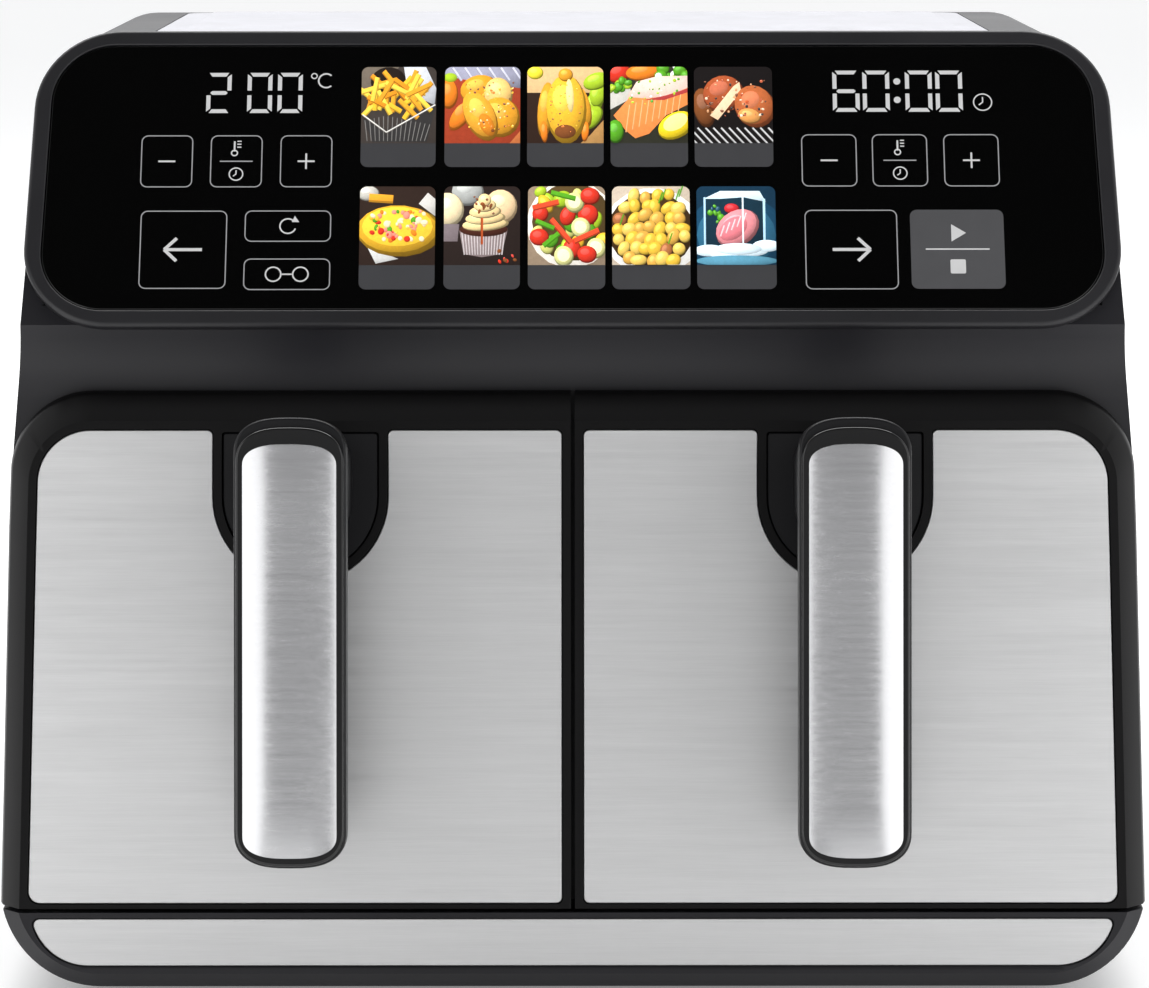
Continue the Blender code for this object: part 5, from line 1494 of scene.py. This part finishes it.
class Picture:
    """One food picture: shapes laid over each other inside a tile."""

    def __init__(self, name: str, corner: Point, size: Point, seed: int) -> None:
        """Start a tile.

        Args:
            name: what it shows.
            corner: lower left corner of the whole tile on the panel plane.
            size: width and height of the picture.
            seed: start of its random draws.
        """
        self.name = name
        self.corner = corner
        self.size = size
        self.random = random.Random(seed)
        self.form = Form()
        self.local = self.form.bm.loops.layers.uv.new("form")
        self.tint = self.form.bm.loops.layers.float_color.new("tint")
        self.level = -0.27 * MM

    def patch(self, points: Outline, tint: Colour, relief: float = 0.35,
              local: Outline | None = None) -> None:
        """Lay a shape; points run from 0 to 1 across and up the picture."""
        self.level += 0.0025 * MM
        x0, y0 = self.corner
        width, height = self.size
        face = self.form.face([(x0 + x * width, y0 + y * height) for x, y in points], self.level)
        low_x, high_x = min(x for x, _ in points), max(x for x, _ in points)
        low_y, high_y = min(y for _, y in points), max(y for _, y in points)
        if local is None:
            wide, tall = max(high_x - low_x, 0.001), max(high_y - low_y, 0.001)
            local = [((2.0 * (x - low_x) / wide - 1.0) * relief,
                      (2.0 * (y - low_y) / tall - 1.0) * relief) for x, y in points]
        for loop, place in zip(face.loops, local):
            loop[self.local].uv = place
            loop[self.tint] = (*tint, 1.0)

    def spot(self, x: float, y: float, rx: float, ry: float, tint: Colour, turn: float = 0.0,
             relief: float = 0.85) -> None:
        """An ellipse shaded like a round thing, its light from above."""
        cosine, sine = math.cos(math.radians(turn)), math.sin(math.radians(turn))
        points, local = [], []
        steps = 18
        for step in range(steps):
            angle = math.tau * step / steps
            across, up = math.cos(angle), math.sin(angle)
            points.append((x + across * rx * cosine - up * ry * sine,
                           y + across * rx * sine + up * ry * cosine))
            local.append(((across * cosine - up * sine) * relief,
                          (across * sine + up * cosine) * relief))
        self.patch(points, tint, relief, local)

    def lump(self, x: float, y: float, rx: float, ry: float, tint: Colour, turn: float = 0.0) -> None:
        """A round thing with a darker rim and a lit patch."""
        self.spot(x + rx * 0.06, y - ry * 0.10, rx * 1.06, ry * 1.08, shade(tint, 0.42), turn)
        self.spot(x, y, rx, ry, tint, turn)
        self.spot(x - rx * 0.18, y + ry * 0.26, rx * 0.5, ry * 0.42, shade(tint, 1.35, 0.05), turn, 0.7)

    def stick(self, start: Point, end: Point, width: float, tint: Colour) -> None:
        """A square-ended stick with one lit and one dark side."""
        along = Vector((end[0] - start[0], end[1] - start[1])).normalized()
        across = Vector((-along.y, along.x)) * width / 2.0
        if across.y < 0.0:
            across = -across
        first, last = Vector(start), Vector(end)
        for low, colour in ((-1.15, shade(tint, 0.5)), (-0.6, tint)):
            corners = (first + across * low, last + across * low, last + across, first + across)
            self.patch([tuple(corner) for corner in corners], colour, 0.3)

    def scatter(self, count: int, area: tuple[float, float, float, float], size: Point,
                tints: Sequence[Colour], lumps: bool = False) -> None:
        """Many small shapes at random in an area."""
        x0, y0, x1, y1 = area
        for _ in range(count):
            radius = self.random.uniform(*size)
            make = self.lump if lumps else self.spot
            make(self.random.uniform(x0, x1), self.random.uniform(y0, y1), radius,
                 radius * self.random.uniform(0.55, 1.0), self.random.choice(tints),
                 self.random.uniform(0.0, 180.0))

    def finish(self, layout: Layout, palette: Palette) -> None:
        """Trim the shapes to the tile and make the piece."""
        x0, y0 = self.corner
        width, height = self.size
        for point, normal in (((x0, y0), (-1.0, 0.0)), ((x0 + width, y0), (1.0, 0.0)),
                              ((x0, y0), (0.0, -1.0)), ((x0, y0 + height), (0.0, 1.0))):
            self.form.clip((*point, 0.0), (*normal, 0.0))
        radius = TILE_CORNER
        for side, x in ((-1.0, x0 + radius), (1.0, x0 + width - radius)):
            for turn in (18.0, 36.0, 54.0, 72.0):
                normal = (side * math.cos(math.radians(turn)), math.sin(math.radians(turn)))
                self.form.clip((x + normal[0] * radius, y0 + height - radius + normal[1] * radius, 0.0),
                               (*normal, 0.0))
        for face in self.form.bm.faces:
            if face.normal.z < 0.0:
                face.normal_flip()
        self.form.bm.normal_update()
        Piece(f"picture_{self.name}", palette.food, "housing", Slot.GLASS).build(
            self.form, layout.panel_plane(), wall=0.02 * MM, recalc=False)


YELLOW: Colour = (0.95, 0.55, 0.04)
GOLD: Colour = (0.85, 0.38, 0.03)
ORANGE: Colour = (0.90, 0.24, 0.02)
BROWN: Colour = (0.22, 0.07, 0.02)
DARK: Colour = (0.018, 0.012, 0.009)
CREAM: Colour = (0.95, 0.80, 0.50)
WHITE: Colour = (0.90, 0.90, 0.90)
RED: Colour = (0.70, 0.04, 0.02)
PINK: Colour = (0.85, 0.30, 0.33)
GREEN: Colour = (0.10, 0.38, 0.02)
LIME: Colour = (0.42, 0.62, 0.03)
ICE: Colour = (0.45, 0.70, 0.85)
NIGHT: Colour = (0.006, 0.03, 0.06)
BOARD: Colour = (0.36, 0.05, 0.02)
WOOD: Colour = (0.75, 0.50, 0.24)
FULL: tuple[Point, ...] = ((0.0, 0.0), (1.0, 0.0), (1.0, 1.0), (0.0, 1.0))


def draw_fries(art: Picture) -> None:
    """Fries in a wire basket."""
    art.patch(FULL, (0.05, 0.04, 0.035))
    art.patch([(0.0, 0.62), (0.34, 0.78), (0.5, 1.0), (0.0, 1.0)], (0.16, 0.13, 0.10))
    art.spot(0.36, 0.80, 0.24, 0.20, DARK)
    art.patch([(0.56, 1.02), (0.86, 1.0), (1.0, 0.72), (0.98, 0.50), (0.62, 0.66)],
              (0.62, 0.64, 0.68), 0.6)
    art.patch([(0.0, 0.36), (0.34, 0.12), (1.0, 0.50), (0.88, 0.02), (0.16, 0.02)],
              (0.035, 0.033, 0.033))
    for step in range(15):
        x = 0.05 + step * 0.062
        art.stick((x, 0.36 - abs(x - 0.34) * 0.2), (x + (0.34 - x) * 0.12, 0.03),
                  0.010, (0.22, 0.21, 0.20))
    for step in range(34):
        x = art.random.uniform(0.04, 0.86)
        y = art.random.uniform(0.34, 0.74) + 0.10 * math.sin(x * 3.0)
        turn = art.random.uniform(-1.2, 1.2) + (1.2 if art.random.random() < 0.4 else 0.0)
        length = art.random.uniform(0.13, 0.20)
        reach = (math.sin(turn) * length, math.cos(turn) * length)
        tint = art.random.choice((YELLOW, GOLD, (0.98, 0.66, 0.08), (0.80, 0.30, 0.02)))
        art.stick((x - reach[0], y - reach[1]), (x + reach[0], y + reach[1]), 0.062, tint)
    art.stick((0.02, 0.37), (0.34, 0.14), 0.018, (0.70, 0.68, 0.64))
    art.stick((0.34, 0.14), (0.99, 0.50), 0.018, (0.70, 0.68, 0.64))


def draw_wings(art: Picture) -> None:
    """Crumbed wings on a red board."""
    art.patch(FULL, BOARD)
    art.patch([(0.0, 0.88), (0.45, 0.80), (1.0, 0.72), (1.0, 1.0), (0.0, 1.0)],
              (0.34, 0.34, 0.44), 0.6)
    for step in range(6):
        art.stick((0.1 + step * 0.16, 0.99), (0.22 + step * 0.16, 0.82), 0.03, (0.62, 0.62, 0.72))
    art.patch([(0.0, 0.0), (0.86, 0.0), (1.0, 0.16), (1.0, 0.0)], (0.55, 0.16, 0.05))
    art.lump(0.04, 0.66, 0.12, 0.18, ORANGE)
    art.spot(0.07, 0.86, 0.09, 0.06, LIME)
    art.lump(0.44, 0.72, 0.24, 0.17, GOLD, 15.0)
    art.lump(0.70, 0.66, 0.18, 0.20, (0.95, 0.62, 0.20))
    art.lump(0.72, 0.36, 0.25, 0.24, GOLD, -20.0)
    art.lump(0.22, 0.38, 0.10, 0.22, ORANGE, -40.0)
    art.lump(0.46, 0.38, 0.19, 0.32, (0.92, 0.42, 0.04), 28.0)
    art.spot(0.56, 0.24, 0.09, 0.16, (0.72, 0.24, 0.02), 28.0)
    art.scatter(70, (0.28, 0.16, 0.92, 0.84), (0.008, 0.022),
                (YELLOW, (0.98, 0.72, 0.30), ORANGE, BROWN))


def draw_roast(art: Picture) -> None:
    """A whole roast bird with salad."""
    art.patch(FULL, (0.03, 0.015, 0.01))
    art.patch([(0.0, 0.66), (1.0, 0.66), (1.0, 1.0), (0.0, 1.0)], WOOD)
    art.patch([(0.70, 0.0), (1.0, 0.0), (1.0, 0.3), (0.82, 0.1)], (0.45, 0.24, 0.08))
    art.lump(0.10, 0.93, 0.10, 0.08, (0.95, 0.80, 0.05))
    for x, y, turn in ((0.86, 0.52, 60.0), (0.92, 0.66, 80.0), (0.84, 0.34, 50.0), (0.90, 0.82, 20.0)):
        art.lump(x, y, 0.17, 0.10, LIME, turn)
    art.lump(0.24, 0.46, 0.10, 0.34, GOLD, -6.0)
    art.lump(0.72, 0.50, 0.10, 0.26, GOLD, 14.0)
    art.lump(0.22, 0.16, 0.045, 0.13, ORANGE, 4.0)
    art.lump(0.76, 0.16, 0.045, 0.12, ORANGE, -6.0)
    art.lump(0.50, 0.48, 0.25, 0.42, (0.95, 0.52, 0.04))
    art.spot(0.50, 0.15, 0.14, 0.09, BROWN)
    art.lump(0.50, 0.90, 0.09, 0.08, GOLD)
    art.spot(0.56, 0.62, 0.05, 0.22, (1.0, 0.80, 0.34), 4.0)
    art.scatter(40, (0.28, 0.14, 0.72, 0.84), (0.006, 0.016), (ORANGE, BROWN, YELLOW))


def draw_salmon(art: Picture) -> None:
    """A salmon steak with herbs and lemon."""
    art.patch(FULL, (0.03, 0.03, 0.02))
    art.patch([(0.0, 0.44), (0.3, 0.6), (0.24, 0.76), (0.0, 0.72)], (0.6, 0.58, 0.52))
    art.lump(0.10, 0.93, 0.15, 0.12, RED, 20.0)
    art.lump(0.42, 0.94, 0.22, 0.10, ORANGE, 8.0)
    art.scatter(14, (0.6, 0.84, 1.0, 1.0), (0.04, 0.09), (GREEN, LIME, WHITE), True)
    art.scatter(10, (0.0, 0.70, 0.24, 0.82), (0.04, 0.08), (GREEN, LIME), True)
    art.patch([(0.04, 0.36), (0.20, 0.16), (0.32, 0.06), (0.50, 0.12), (0.72, 0.36),
               (1.0, 0.50), (1.0, 0.84),
               (0.62, 0.84), (0.34, 0.76), (0.22, 0.56)], (0.85, 0.27, 0.07), 0.5)
    for step in range(9):
        x = 0.20 + step * 0.085
        art.stick((x, 0.14 + step * 0.035), (x + 0.05, 0.50 + step * 0.03),
                  0.014, (1.0, 0.50, 0.22))
    art.patch([(0.22, 0.60), (0.48, 0.58), (0.76, 0.62), (1.0, 0.72), (1.0, 0.88),
               (0.60, 0.87), (0.34, 0.80)],
              (0.92, 0.66, 0.56), 0.6)
    art.patch([(0.44, 0.56), (0.70, 0.56), (1.0, 0.66), (1.0, 0.71), (0.72, 0.62)],
              (0.45, 0.05, 0.05))
    art.scatter(26, (0.24, 0.50, 0.9, 0.84), (0.010, 0.026), (GREEN, LIME, WHITE))
    art.lump(0.06, 0.16, 0.10, 0.14, GREEN)
    art.lump(0.84, 0.24, 0.24, 0.15, (0.95, 0.70, 0.02), 28.0)
    art.spot(0.84, 0.27, 0.17, 0.10, (1.0, 0.85, 0.30), 28.0, 0.4)


def draw_steak(art: Picture) -> None:
    """Two grilled steaks on bars."""
    art.patch(FULL, (0.008, 0.006, 0.006))
    for step in range(13):
        x = -0.16 + step * 0.10
        art.stick((x, 0.20), (x + 0.22, -0.04), 0.022, (0.50, 0.50, 0.50))
    art.lump(0.12, 0.48, 0.13, 0.24, BROWN, 10.0)
    art.lump(0.36, 0.66, 0.25, 0.22, (0.42, 0.09, 0.03), 22.0)
    art.patch([(0.20, 0.36), (0.30, 0.30), (0.60, 0.68), (0.58, 0.80), (0.50, 0.74)],
              (0.92, 0.66, 0.42), 0.5)
    art.lump(0.76, 0.50, 0.24, 0.26, (0.50, 0.13, 0.04), 30.0)
    art.lump(0.70, 0.36, 0.14, 0.09, (0.80, 0.36, 0.10), -10.0)
    art.scatter(60, (0.14, 0.34, 0.94, 0.84), (0.008, 0.024),
                ((0.75, 0.36, 0.16), BROWN, (0.55, 0.10, 0.03), (0.95, 0.70, 0.50), DARK))


def draw_pizza(art: Picture) -> None:
    """A small pizza."""
    art.patch(FULL, (0.028, 0.016, 0.012))
    art.lump(0.10, 0.92, 0.14, 0.09, (0.60, 0.58, 0.52))
    art.stick((0.12, 0.86), (0.44, 0.84), 0.10, GOLD)
    art.patch([(0.78, 0.78), (0.90, 0.92), (1.0, 0.84), (1.0, 0.62)], (0.62, 0.60, 0.56), 0.5)
    art.patch([(0.10, 0.24), (0.30, 0.16), (0.52, 0.08), (0.22, 0.02)], (0.60, 0.60, 0.58), 0.6)
    art.lump(0.50, 0.46, 0.53, 0.30, (0.80, 0.44, 0.03))
    art.spot(0.50, 0.49, 0.47, 0.25, (0.96, 0.62, 0.05), 0.0, 0.5)
    art.scatter(64, (0.14, 0.32, 0.88, 0.68), (0.018, 0.05),
                (RED, ORANGE, CREAM, (0.95, 0.30, 0.22), YELLOW, CREAM, GREEN))


def draw_cupcake(art: Picture) -> None:
    """A cupcake with cream."""
    art.patch(FULL, (0.022, 0.014, 0.012))
    art.lump(0.30, 0.94, 0.20, 0.16, (0.45, 0.46, 0.44))
    art.lump(0.04, 0.72, 0.20, 0.20, CREAM)
    art.lump(0.74, 0.76, 0.20, 0.20, (0.92, 0.66, 0.38))
    art.patch([(-0.02, 0.52), (0.20, 0.52), (0.18, 0.30), (-0.02, 0.30)], (0.20, 0.16, 0.17))
    art.patch([(0.20, 0.46), (0.84, 0.46), (0.76, 0.14), (0.50, 0.10), (0.26, 0.14)],
              (0.26, 0.20, 0.20), 0.5)
    for step in range(15):
        x = 0.23 + step * 0.041
        art.stick((x, 0.46), (0.52 + (x - 0.52) * 0.86, 0.13), 0.016, (0.58, 0.52, 0.52))
    art.spot(0.52, 0.45, 0.32, 0.09, (0.07, 0.02, 0.012))
    for y, width in ((0.52, 0.29), (0.60, 0.25), (0.68, 0.20), (0.76, 0.14), (0.83, 0.08)):
        art.lump(0.53, y, width, 0.075, (0.96, 0.74, 0.36), 4.0)
    art.scatter(12, (0.38, 0.62, 0.66, 0.88), (0.012, 0.032), (BROWN, (0.30, 0.08, 0.02)))
    art.stick((0.50, 0.60), (0.50, 0.26), 0.03, (0.45, 0.08, 0.02))
    art.scatter(10, (0.72, 0.04, 0.96, 0.18), (0.012, 0.03), (BROWN, RED))


def draw_greens(art: Picture) -> None:
    """Mixed vegetables in a bowl."""
    art.patch(FULL, (0.30, 0.22, 0.15))
    art.spot(0.56, 0.52, 0.58, 0.56, (0.85, 0.80, 0.72), 0.0, 0.5)
    art.spot(0.57, 0.55, 0.52, 0.50, (0.10, 0.06, 0.02))
    art.scatter(26, (0.10, 0.14, 1.0, 0.98), (0.07, 0.13),
                (GREEN, LIME, YELLOW, (0.70, 0.70, 0.20), RED), True)
    for x, y in ((0.68, 0.48), (0.60, 0.80), (0.46, 0.12), (0.88, 0.22)):
        art.lump(x, y, 0.12, 0.12, (0.75, 0.74, 0.30))
        art.spot(x, y, 0.08, 0.08, (0.92, 0.88, 0.55), 0.0, 0.3)
    for x, y in ((0.14, 0.36), (0.80, 0.88), (0.76, 0.14)):
        art.lump(x, y, 0.12, 0.10, RED)
    for width, tint, ends in (
            (0.07, (0.75, 0.08, 0.03), ((0.30, 0.58, 0.56, 0.28), (0.06, 0.72, 0.40, 0.80),
                                        (0.60, 0.30, 0.92, 0.44))),
            (0.06, GREEN, ((0.10, 0.56, 0.34, 0.46), (0.30, 0.92, 0.62, 0.84),
                           (0.20, 0.24, 0.40, 0.40)))):
        for x0, y0, x1, y1 in ends:
            art.stick((x0, y0), (x1, y1), width, tint)


def draw_potatoes(art: Picture) -> None:
    """Small roast potatoes in a bowl."""
    art.patch(FULL, (0.55, 0.46, 0.36))
    art.spot(0.52, 0.42, 0.64, 0.56, (0.82, 0.80, 0.76), 0.0, 0.5)
    art.spot(0.50, 0.44, 0.56, 0.48, (0.06, 0.03, 0.01))
    rows = 7
    for row in range(rows):
        y = 0.88 - row * 0.135
        half = 0.48 * math.sqrt(max(1.0 - ((y - 0.44) / 0.56) ** 2, 0.0))
        count = max(int(half * 15.0), 1)
        for step in range(count):
            x = 0.5 - half + 2.0 * half * (step + 0.5) / count + art.random.uniform(-0.03, 0.03)
            tint = art.random.choice(((0.80, 0.50, 0.05), (0.72, 0.40, 0.07), (0.42, 0.15, 0.05),
                                      (0.85, 0.58, 0.12)))
            art.lump(x, y + art.random.uniform(-0.03, 0.03), art.random.uniform(0.07, 0.11),
                     art.random.uniform(0.065, 0.085), tint, art.random.uniform(0.0, 90.0))
    for x, y in ((0.60, 0.78), (0.64, 0.82), (0.82, 0.82), (0.86, 0.86), (0.10, 0.50), (0.72, 0.26)):
        art.stick((x, y), (x + 0.05, y + 0.14), 0.016, GREEN)


def draw_ice(art: Picture) -> None:
    """Meat in a block of ice."""
    art.patch(FULL, NIGHT)
    for width, tint in ((0.62, (0.01, 0.06, 0.12)), (0.50, (0.03, 0.14, 0.24))):
        art.spot(0.5, 0.38, width, width * 0.85, tint)
    art.patch([(0.10, 0.22), (0.10, 0.86), (0.86, 0.86), (0.88, 0.22)], (0.008, 0.03, 0.05), 0.5)
    art.patch([(0.09, 0.84), (0.30, 0.94), (0.80, 0.94), (0.88, 0.80), (0.60, 0.86), (0.30, 0.84)],
              (0.70, 0.86, 0.95), 0.6)
    art.patch([(0.09, 0.22), (0.115, 0.22), (0.115, 0.86), (0.09, 0.86)], ICE)
    art.patch([(0.84, 0.22), (0.87, 0.22), (0.87, 0.84), (0.84, 0.84)], ICE)
    art.scatter(10, (0.16, 0.54, 0.36, 0.76), (0.02, 0.05), (GREEN, (0.02, 0.10, 0.16)), True)
    art.lump(0.44, 0.72, 0.09, 0.06, (0.65, 0.03, 0.04))
    art.lump(0.50, 0.48, 0.28, 0.20, PINK, 34.0)
    art.spot(0.46, 0.46, 0.20, 0.13, (0.80, 0.22, 0.26), 34.0)
    for step in range(5):
        x = 0.30 + step * 0.07
        art.stick((x, 0.36 + step * 0.04), (x + 0.05, 0.50 + step * 0.04), 0.02, (0.95, 0.62, 0.64))
    art.patch([(0.575, 0.26), (0.595, 0.26), (0.595, 0.88), (0.575, 0.88)], (0.80, 0.90, 0.95))
    for x, y, rx in ((0.16, 0.18, 0.20), (0.40, 0.14, 0.24), (0.66, 0.18, 0.24), (0.88, 0.24, 0.18),
                     (0.52, 0.20, 0.3)):
        art.spot(x, y, rx, 0.075, (0.75, 0.90, 0.98))
    art.spot(0.5, 0.05, 0.52, 0.07, (0.10, 0.30, 0.42))


@dataclass
class Menu(Assembly):
    """The ten picture tiles, each over a plain grey bar."""

    top_x: tuple[float, ...] = (-72.3 * MM, -43.7 * MM, -15.5 * MM, 13.0 * MM, 41.7 * MM)
    low_x: tuple[float, ...] = (-72.2 * MM, -43.6 * MM, -15.1 * MM, 13.4 * MM, 42.1 * MM)
    rows: tuple[Point, Point] = ((58.8 * MM, 37.8 * MM), (13.4 * MM, 38.1 * MM))
    widths: tuple[float, ...] = (25.6 * MM, 25.8 * MM, 26.1 * MM, 26.4 * MM, 26.8 * MM)
    bar: float = 8.9 * MM
    bar_levels: tuple[float, float] = (-0.34 * MM, -0.24 * MM)

    def build(self) -> None:
        """Make bars and pictures."""
        bars = Form()
        makers = ((draw_fries, draw_wings, draw_roast, draw_salmon, draw_steak),
                  (draw_pizza, draw_cupcake, draw_greens, draw_potatoes, draw_ice))
        for (low, height), places, row in zip(self.rows, (self.top_x, self.low_x), makers):
            for seed, (x, width, draw) in enumerate(zip(places, self.widths, row)):
                name = draw.__name__.removeprefix("draw_")
                radius = TILE_CORNER
                outline = (arc((x + radius, low + radius), radius, 180.0, 270.0, 6)
                           + arc((x + width - radius, low + radius), radius, 270.0, 360.0, 6)
                           + [(x + width, low + self.bar), (x, low + self.bar)])
                bars.slab(outline, *self.bar_levels)
                art = Picture(name, (x, low + self.bar), (width, height - self.bar), seed + len(name))
                draw(art)
                art.finish(self.layout, self.palette)
        self.add("menu_bars", self.palette.caption, Slot.GLASS, bars, plane=self.layout.panel_plane())


# ---- small and hidden
@dataclass
class Hardware(Assembly):
    """Screws and feet, remade with their fine shape."""

    foot_radius: float = 9.0 * MM
    head_radius: float = 4.0 * MM
    head_height: float = 2.2 * MM
    shank: Point = (2.0 * MM, 8.0 * MM)
    cross: Point = (4.4 * MM, 1.0 * MM)

    def feet(self) -> None:
        """Four turned rubber feet with softened edges."""
        radius = self.foot_radius
        for place in ("front_left", "front_right", "rear_left", "rear_right"):
            low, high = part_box(f"rubber_foot_{place}")
            form = Form()
            form.turn([(0.0, 0.0), (radius - 1.2 * MM, 0.0), (radius - 0.3 * MM, 0.5 * MM),
                       (radius, 1.3 * MM), (radius, high.z - 0.6 * MM), (radius - 0.6 * MM, high.z),
                       (0.0, high.z)],
                      Matrix.Translation(((low.x + high.x) / 2.0, (low.y + high.y) / 2.0, 0.0)))
            self.add(f"foot_{place}", self.palette.rubber, Slot.RUBBER, form, f"rubber_foot_{place}")

    def rear_screws(self) -> None:
        """Cross-head screws in the rear cover."""
        back = self.layout.datum_y + self.layout.depth + 0.3 * MM
        radius, height = self.head_radius, self.head_height
        shank, tip = self.shank
        for place in ("left_lower", "left_upper", "right_lower", "right_upper"):
            low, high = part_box(f"rear_screw_{place}")
            x, z = (low.x + high.x) / 2.0, (low.z + high.z) / 2.0
            form = Form()
            form.turn([(0.0, -tip), (shank - 0.4 * MM, -tip), (shank, 0.8 * MM - tip), (shank, 0.0),
                       (radius, 0.0), (radius, height * 0.45), (radius * 0.82, height * 0.86),
                       (radius * 0.5, height), (0.0, height)],
                      Matrix.Translation((x, back, z)) @ ALONG_Y, 32)
            screw = self.add(f"cover_screw_{place}", self.palette.zinc, Slot.SCREW, form,
                             f"rear_screw_{place}")
            cross = []
            for wide, tall in (self.cross, self.cross[::-1]):
                cutter = Form()
                cutter.block((x - wide / 2.0, back + height * 0.4, z - tall / 2.0),
                             (x + wide / 2.0, back + height + MM, z + tall / 2.0))
                cross.append(cutter)
            carve(screw, *cross)

    def build(self) -> None:
        """Make feet and screws."""
        self.feet()
        self.rear_screws()


@dataclass
class Kept:
    """CAD pieces whose shape is right: they only get a better finish."""

    palette: Palette

    def build(self) -> None:
        """Dress each kept node."""
        make = self.palette
        finishes = {"front_frame": make.casing, "display_board": make.board, "power_board": make.board,
                    "cord_gland": make.rubber}
        pairs = {"chamber_liner": make.sheet, "heater_guard": make.sheet, "heater_coil": make.heater,
                 "temperature_sensor": make.zinc, "door_switch": make.inner, "motor_bracket": make.sheet,
                 "fan_motor": make.aluminium, "motor_shaft": make.zinc, "hot_air_fan": make.aluminium,
                 "cooling_fan": make.inner, "crisper_plate": make.coated, "handle_screw_lower": make.zinc,
                 "handle_screw_upper": make.zinc}
        for side in ("left", "right"):
            finishes |= {f"{side}_{node}": finish for node, finish in pairs.items()}
        for node, finish in finishes.items():
            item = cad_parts[node]
            for number in range(max(len(item.material_slots), 1)):
                if item.material_slots:
                    item.material_slots[number].material = finish
                else:
                    item.data.materials.append(finish)
            LOG.info("%s keeps its shape", node)


# ---- studio
@dataclass
class Studio:
    """Floor, soft lights and camera."""

    distance: float = 1.5
    camera_height: float = 0.3997
    pitch: float = math.radians(8.6)
    focal: float = 143.812
    roll: float = math.radians(-0.04)
    shift_x: float = 0.6 * MM
    floor_half: float = 30.0
    front: float = 0.50
    back: float = 1.15
    high_dark: float = 0.97
    floor_glow: float = 0.22
    side_box: tuple[tuple[float, float, float], ...] = ((0.52, -0.56, 0.24), (0.10, -0.17, 0.14))
    side_size: Point = (0.40, 0.60)
    side_power: float = 1.0
    ceiling_box: tuple[tuple[float, float, float], ...] = ((0.0, 1.1, 2.2), (0.0, 0.2, 0.0))
    ceiling_size: Point = (2.6, 1.6)
    ceiling_power: float = 60.0

    def floor(self) -> None:
        """A plain pale floor."""
        form = Form()
        bmesh.ops.create_grid(form.bm, x_segments=1, y_segments=1, size=self.floor_half)
        mesh = bpy.data.meshes.new("floor")
        form.bm.to_mesh(mesh)
        form.bm.free()
        shop = Shop("studio_floor")
        cloud = shop.noise(shop.place(), 0.8, 3.0)
        shop.dress(Base_Color=shop.blend(cloud, (0.88, 0.88, 0.88), (0.91, 0.91, 0.91)), Roughness=0.8,
                   Emission_Color=(1.0, 1.0, 1.0), Emission_Strength=self.floor_glow)
        mesh.materials.append(shop.material)
        item = bpy.data.objects.new("floor", mesh)
        bpy.context.scene.collection.objects.link(item)

    def world(self) -> None:
        """A soft dome: bright behind and beside the object, calmer in front, dark high up in front."""
        world = bpy.data.worlds.new("studio")
        bpy.context.scene.world = world
        world.use_nodes = True
        nodes = Nodes(world.node_tree)
        direction = nodes.add("ShaderNodeTexCoord", output="Generated")
        depth = nodes.add("ShaderNodeSeparateXYZ", {}, {"Vector": direction}, "Y")
        height = Wire(nodes, depth.socket.node.outputs["Z"])
        base = depth.spread(-0.75, 0.35, self.front, self.back)
        high = height.spread(0.48, 0.68) * (0.0 - depth).spread(0.05, 0.45)
        background = world.node_tree.nodes["Background"]
        nodes.feed(background.inputs["Strength"], base * (1.0 - high * self.high_dark))
        background.inputs["Color"].default_value = (0.985, 0.99, 1.0, 1.0)

    @staticmethod
    def lamp(name: str, place: Numbers, aim: Numbers, size: Point, power: float) -> None:
        """A rectangular soft box."""
        light = bpy.data.lights.new(name, "AREA")
        light.shape = "RECTANGLE"
        light.size, light.size_y = size
        light.energy = power
        item = bpy.data.objects.new(name, light)
        item.location = place
        item.rotation_euler = (Vector(aim) - Vector(place)).to_track_quat("-Z", "Y").to_euler()
        item.visible_camera = False
        bpy.context.scene.collection.objects.link(item)

    def camera(self, datum_y: float) -> None:
        """The photograph's camera."""
        data = bpy.data.cameras.new("camera")
        data.sensor_width = 36.0
        data.lens = self.focal
        data.clip_end = 200.0
        item = bpy.data.objects.new("camera", data)
        item.location = (self.shift_x, datum_y - self.distance, self.camera_height)
        turn = Matrix.Rotation(math.pi / 2.0 - self.pitch, 4, "X") @ Matrix.Rotation(self.roll, 4, "Z")
        item.rotation_euler = turn.to_euler()
        bpy.context.scene.collection.objects.link(item)
        bpy.context.scene.camera = item

    def build(self, datum_y: float) -> None:
        """Set the stage."""
        self.floor()
        self.world()
        for name, side in (("left_box", -1.0), ("right_box", 1.0)):
            place, aim = ((side * x, y, z) for x, y, z in self.side_box)
            self.lamp(name, place, aim, self.side_size, self.side_power)
        self.lamp("ceiling_box", *self.ceiling_box, self.ceiling_size, self.ceiling_power)
        self.camera(datum_y)
        bpy.context.scene.view_settings.view_transform = "Standard"


def main() -> None:
    """Build every sub-assembly in order."""
    logging.basicConfig(level=logging.INFO, format="%(message)s")
    layout = read_layout()
    palette = Palette()
    top = TopPlate(layout, palette)
    Casing(layout, palette).build(top.seat())
    top.build()
    Base(layout, palette).build()
    for side, sign in (("left", -1.0), ("right", 1.0)):
        Door(layout, palette, side, sign).build()
        Handle(layout, palette, side, sign).build()
        Basket(layout, palette, side, sign).build()
    Bezel(layout, palette).build()
    Symbols(layout, palette).build()
    Menu(layout, palette).build()
    Hardware(layout, palette).build()
    Kept(palette).build()
    Studio().build(layout.datum_y)


if __name__ == "__main__":
    main()
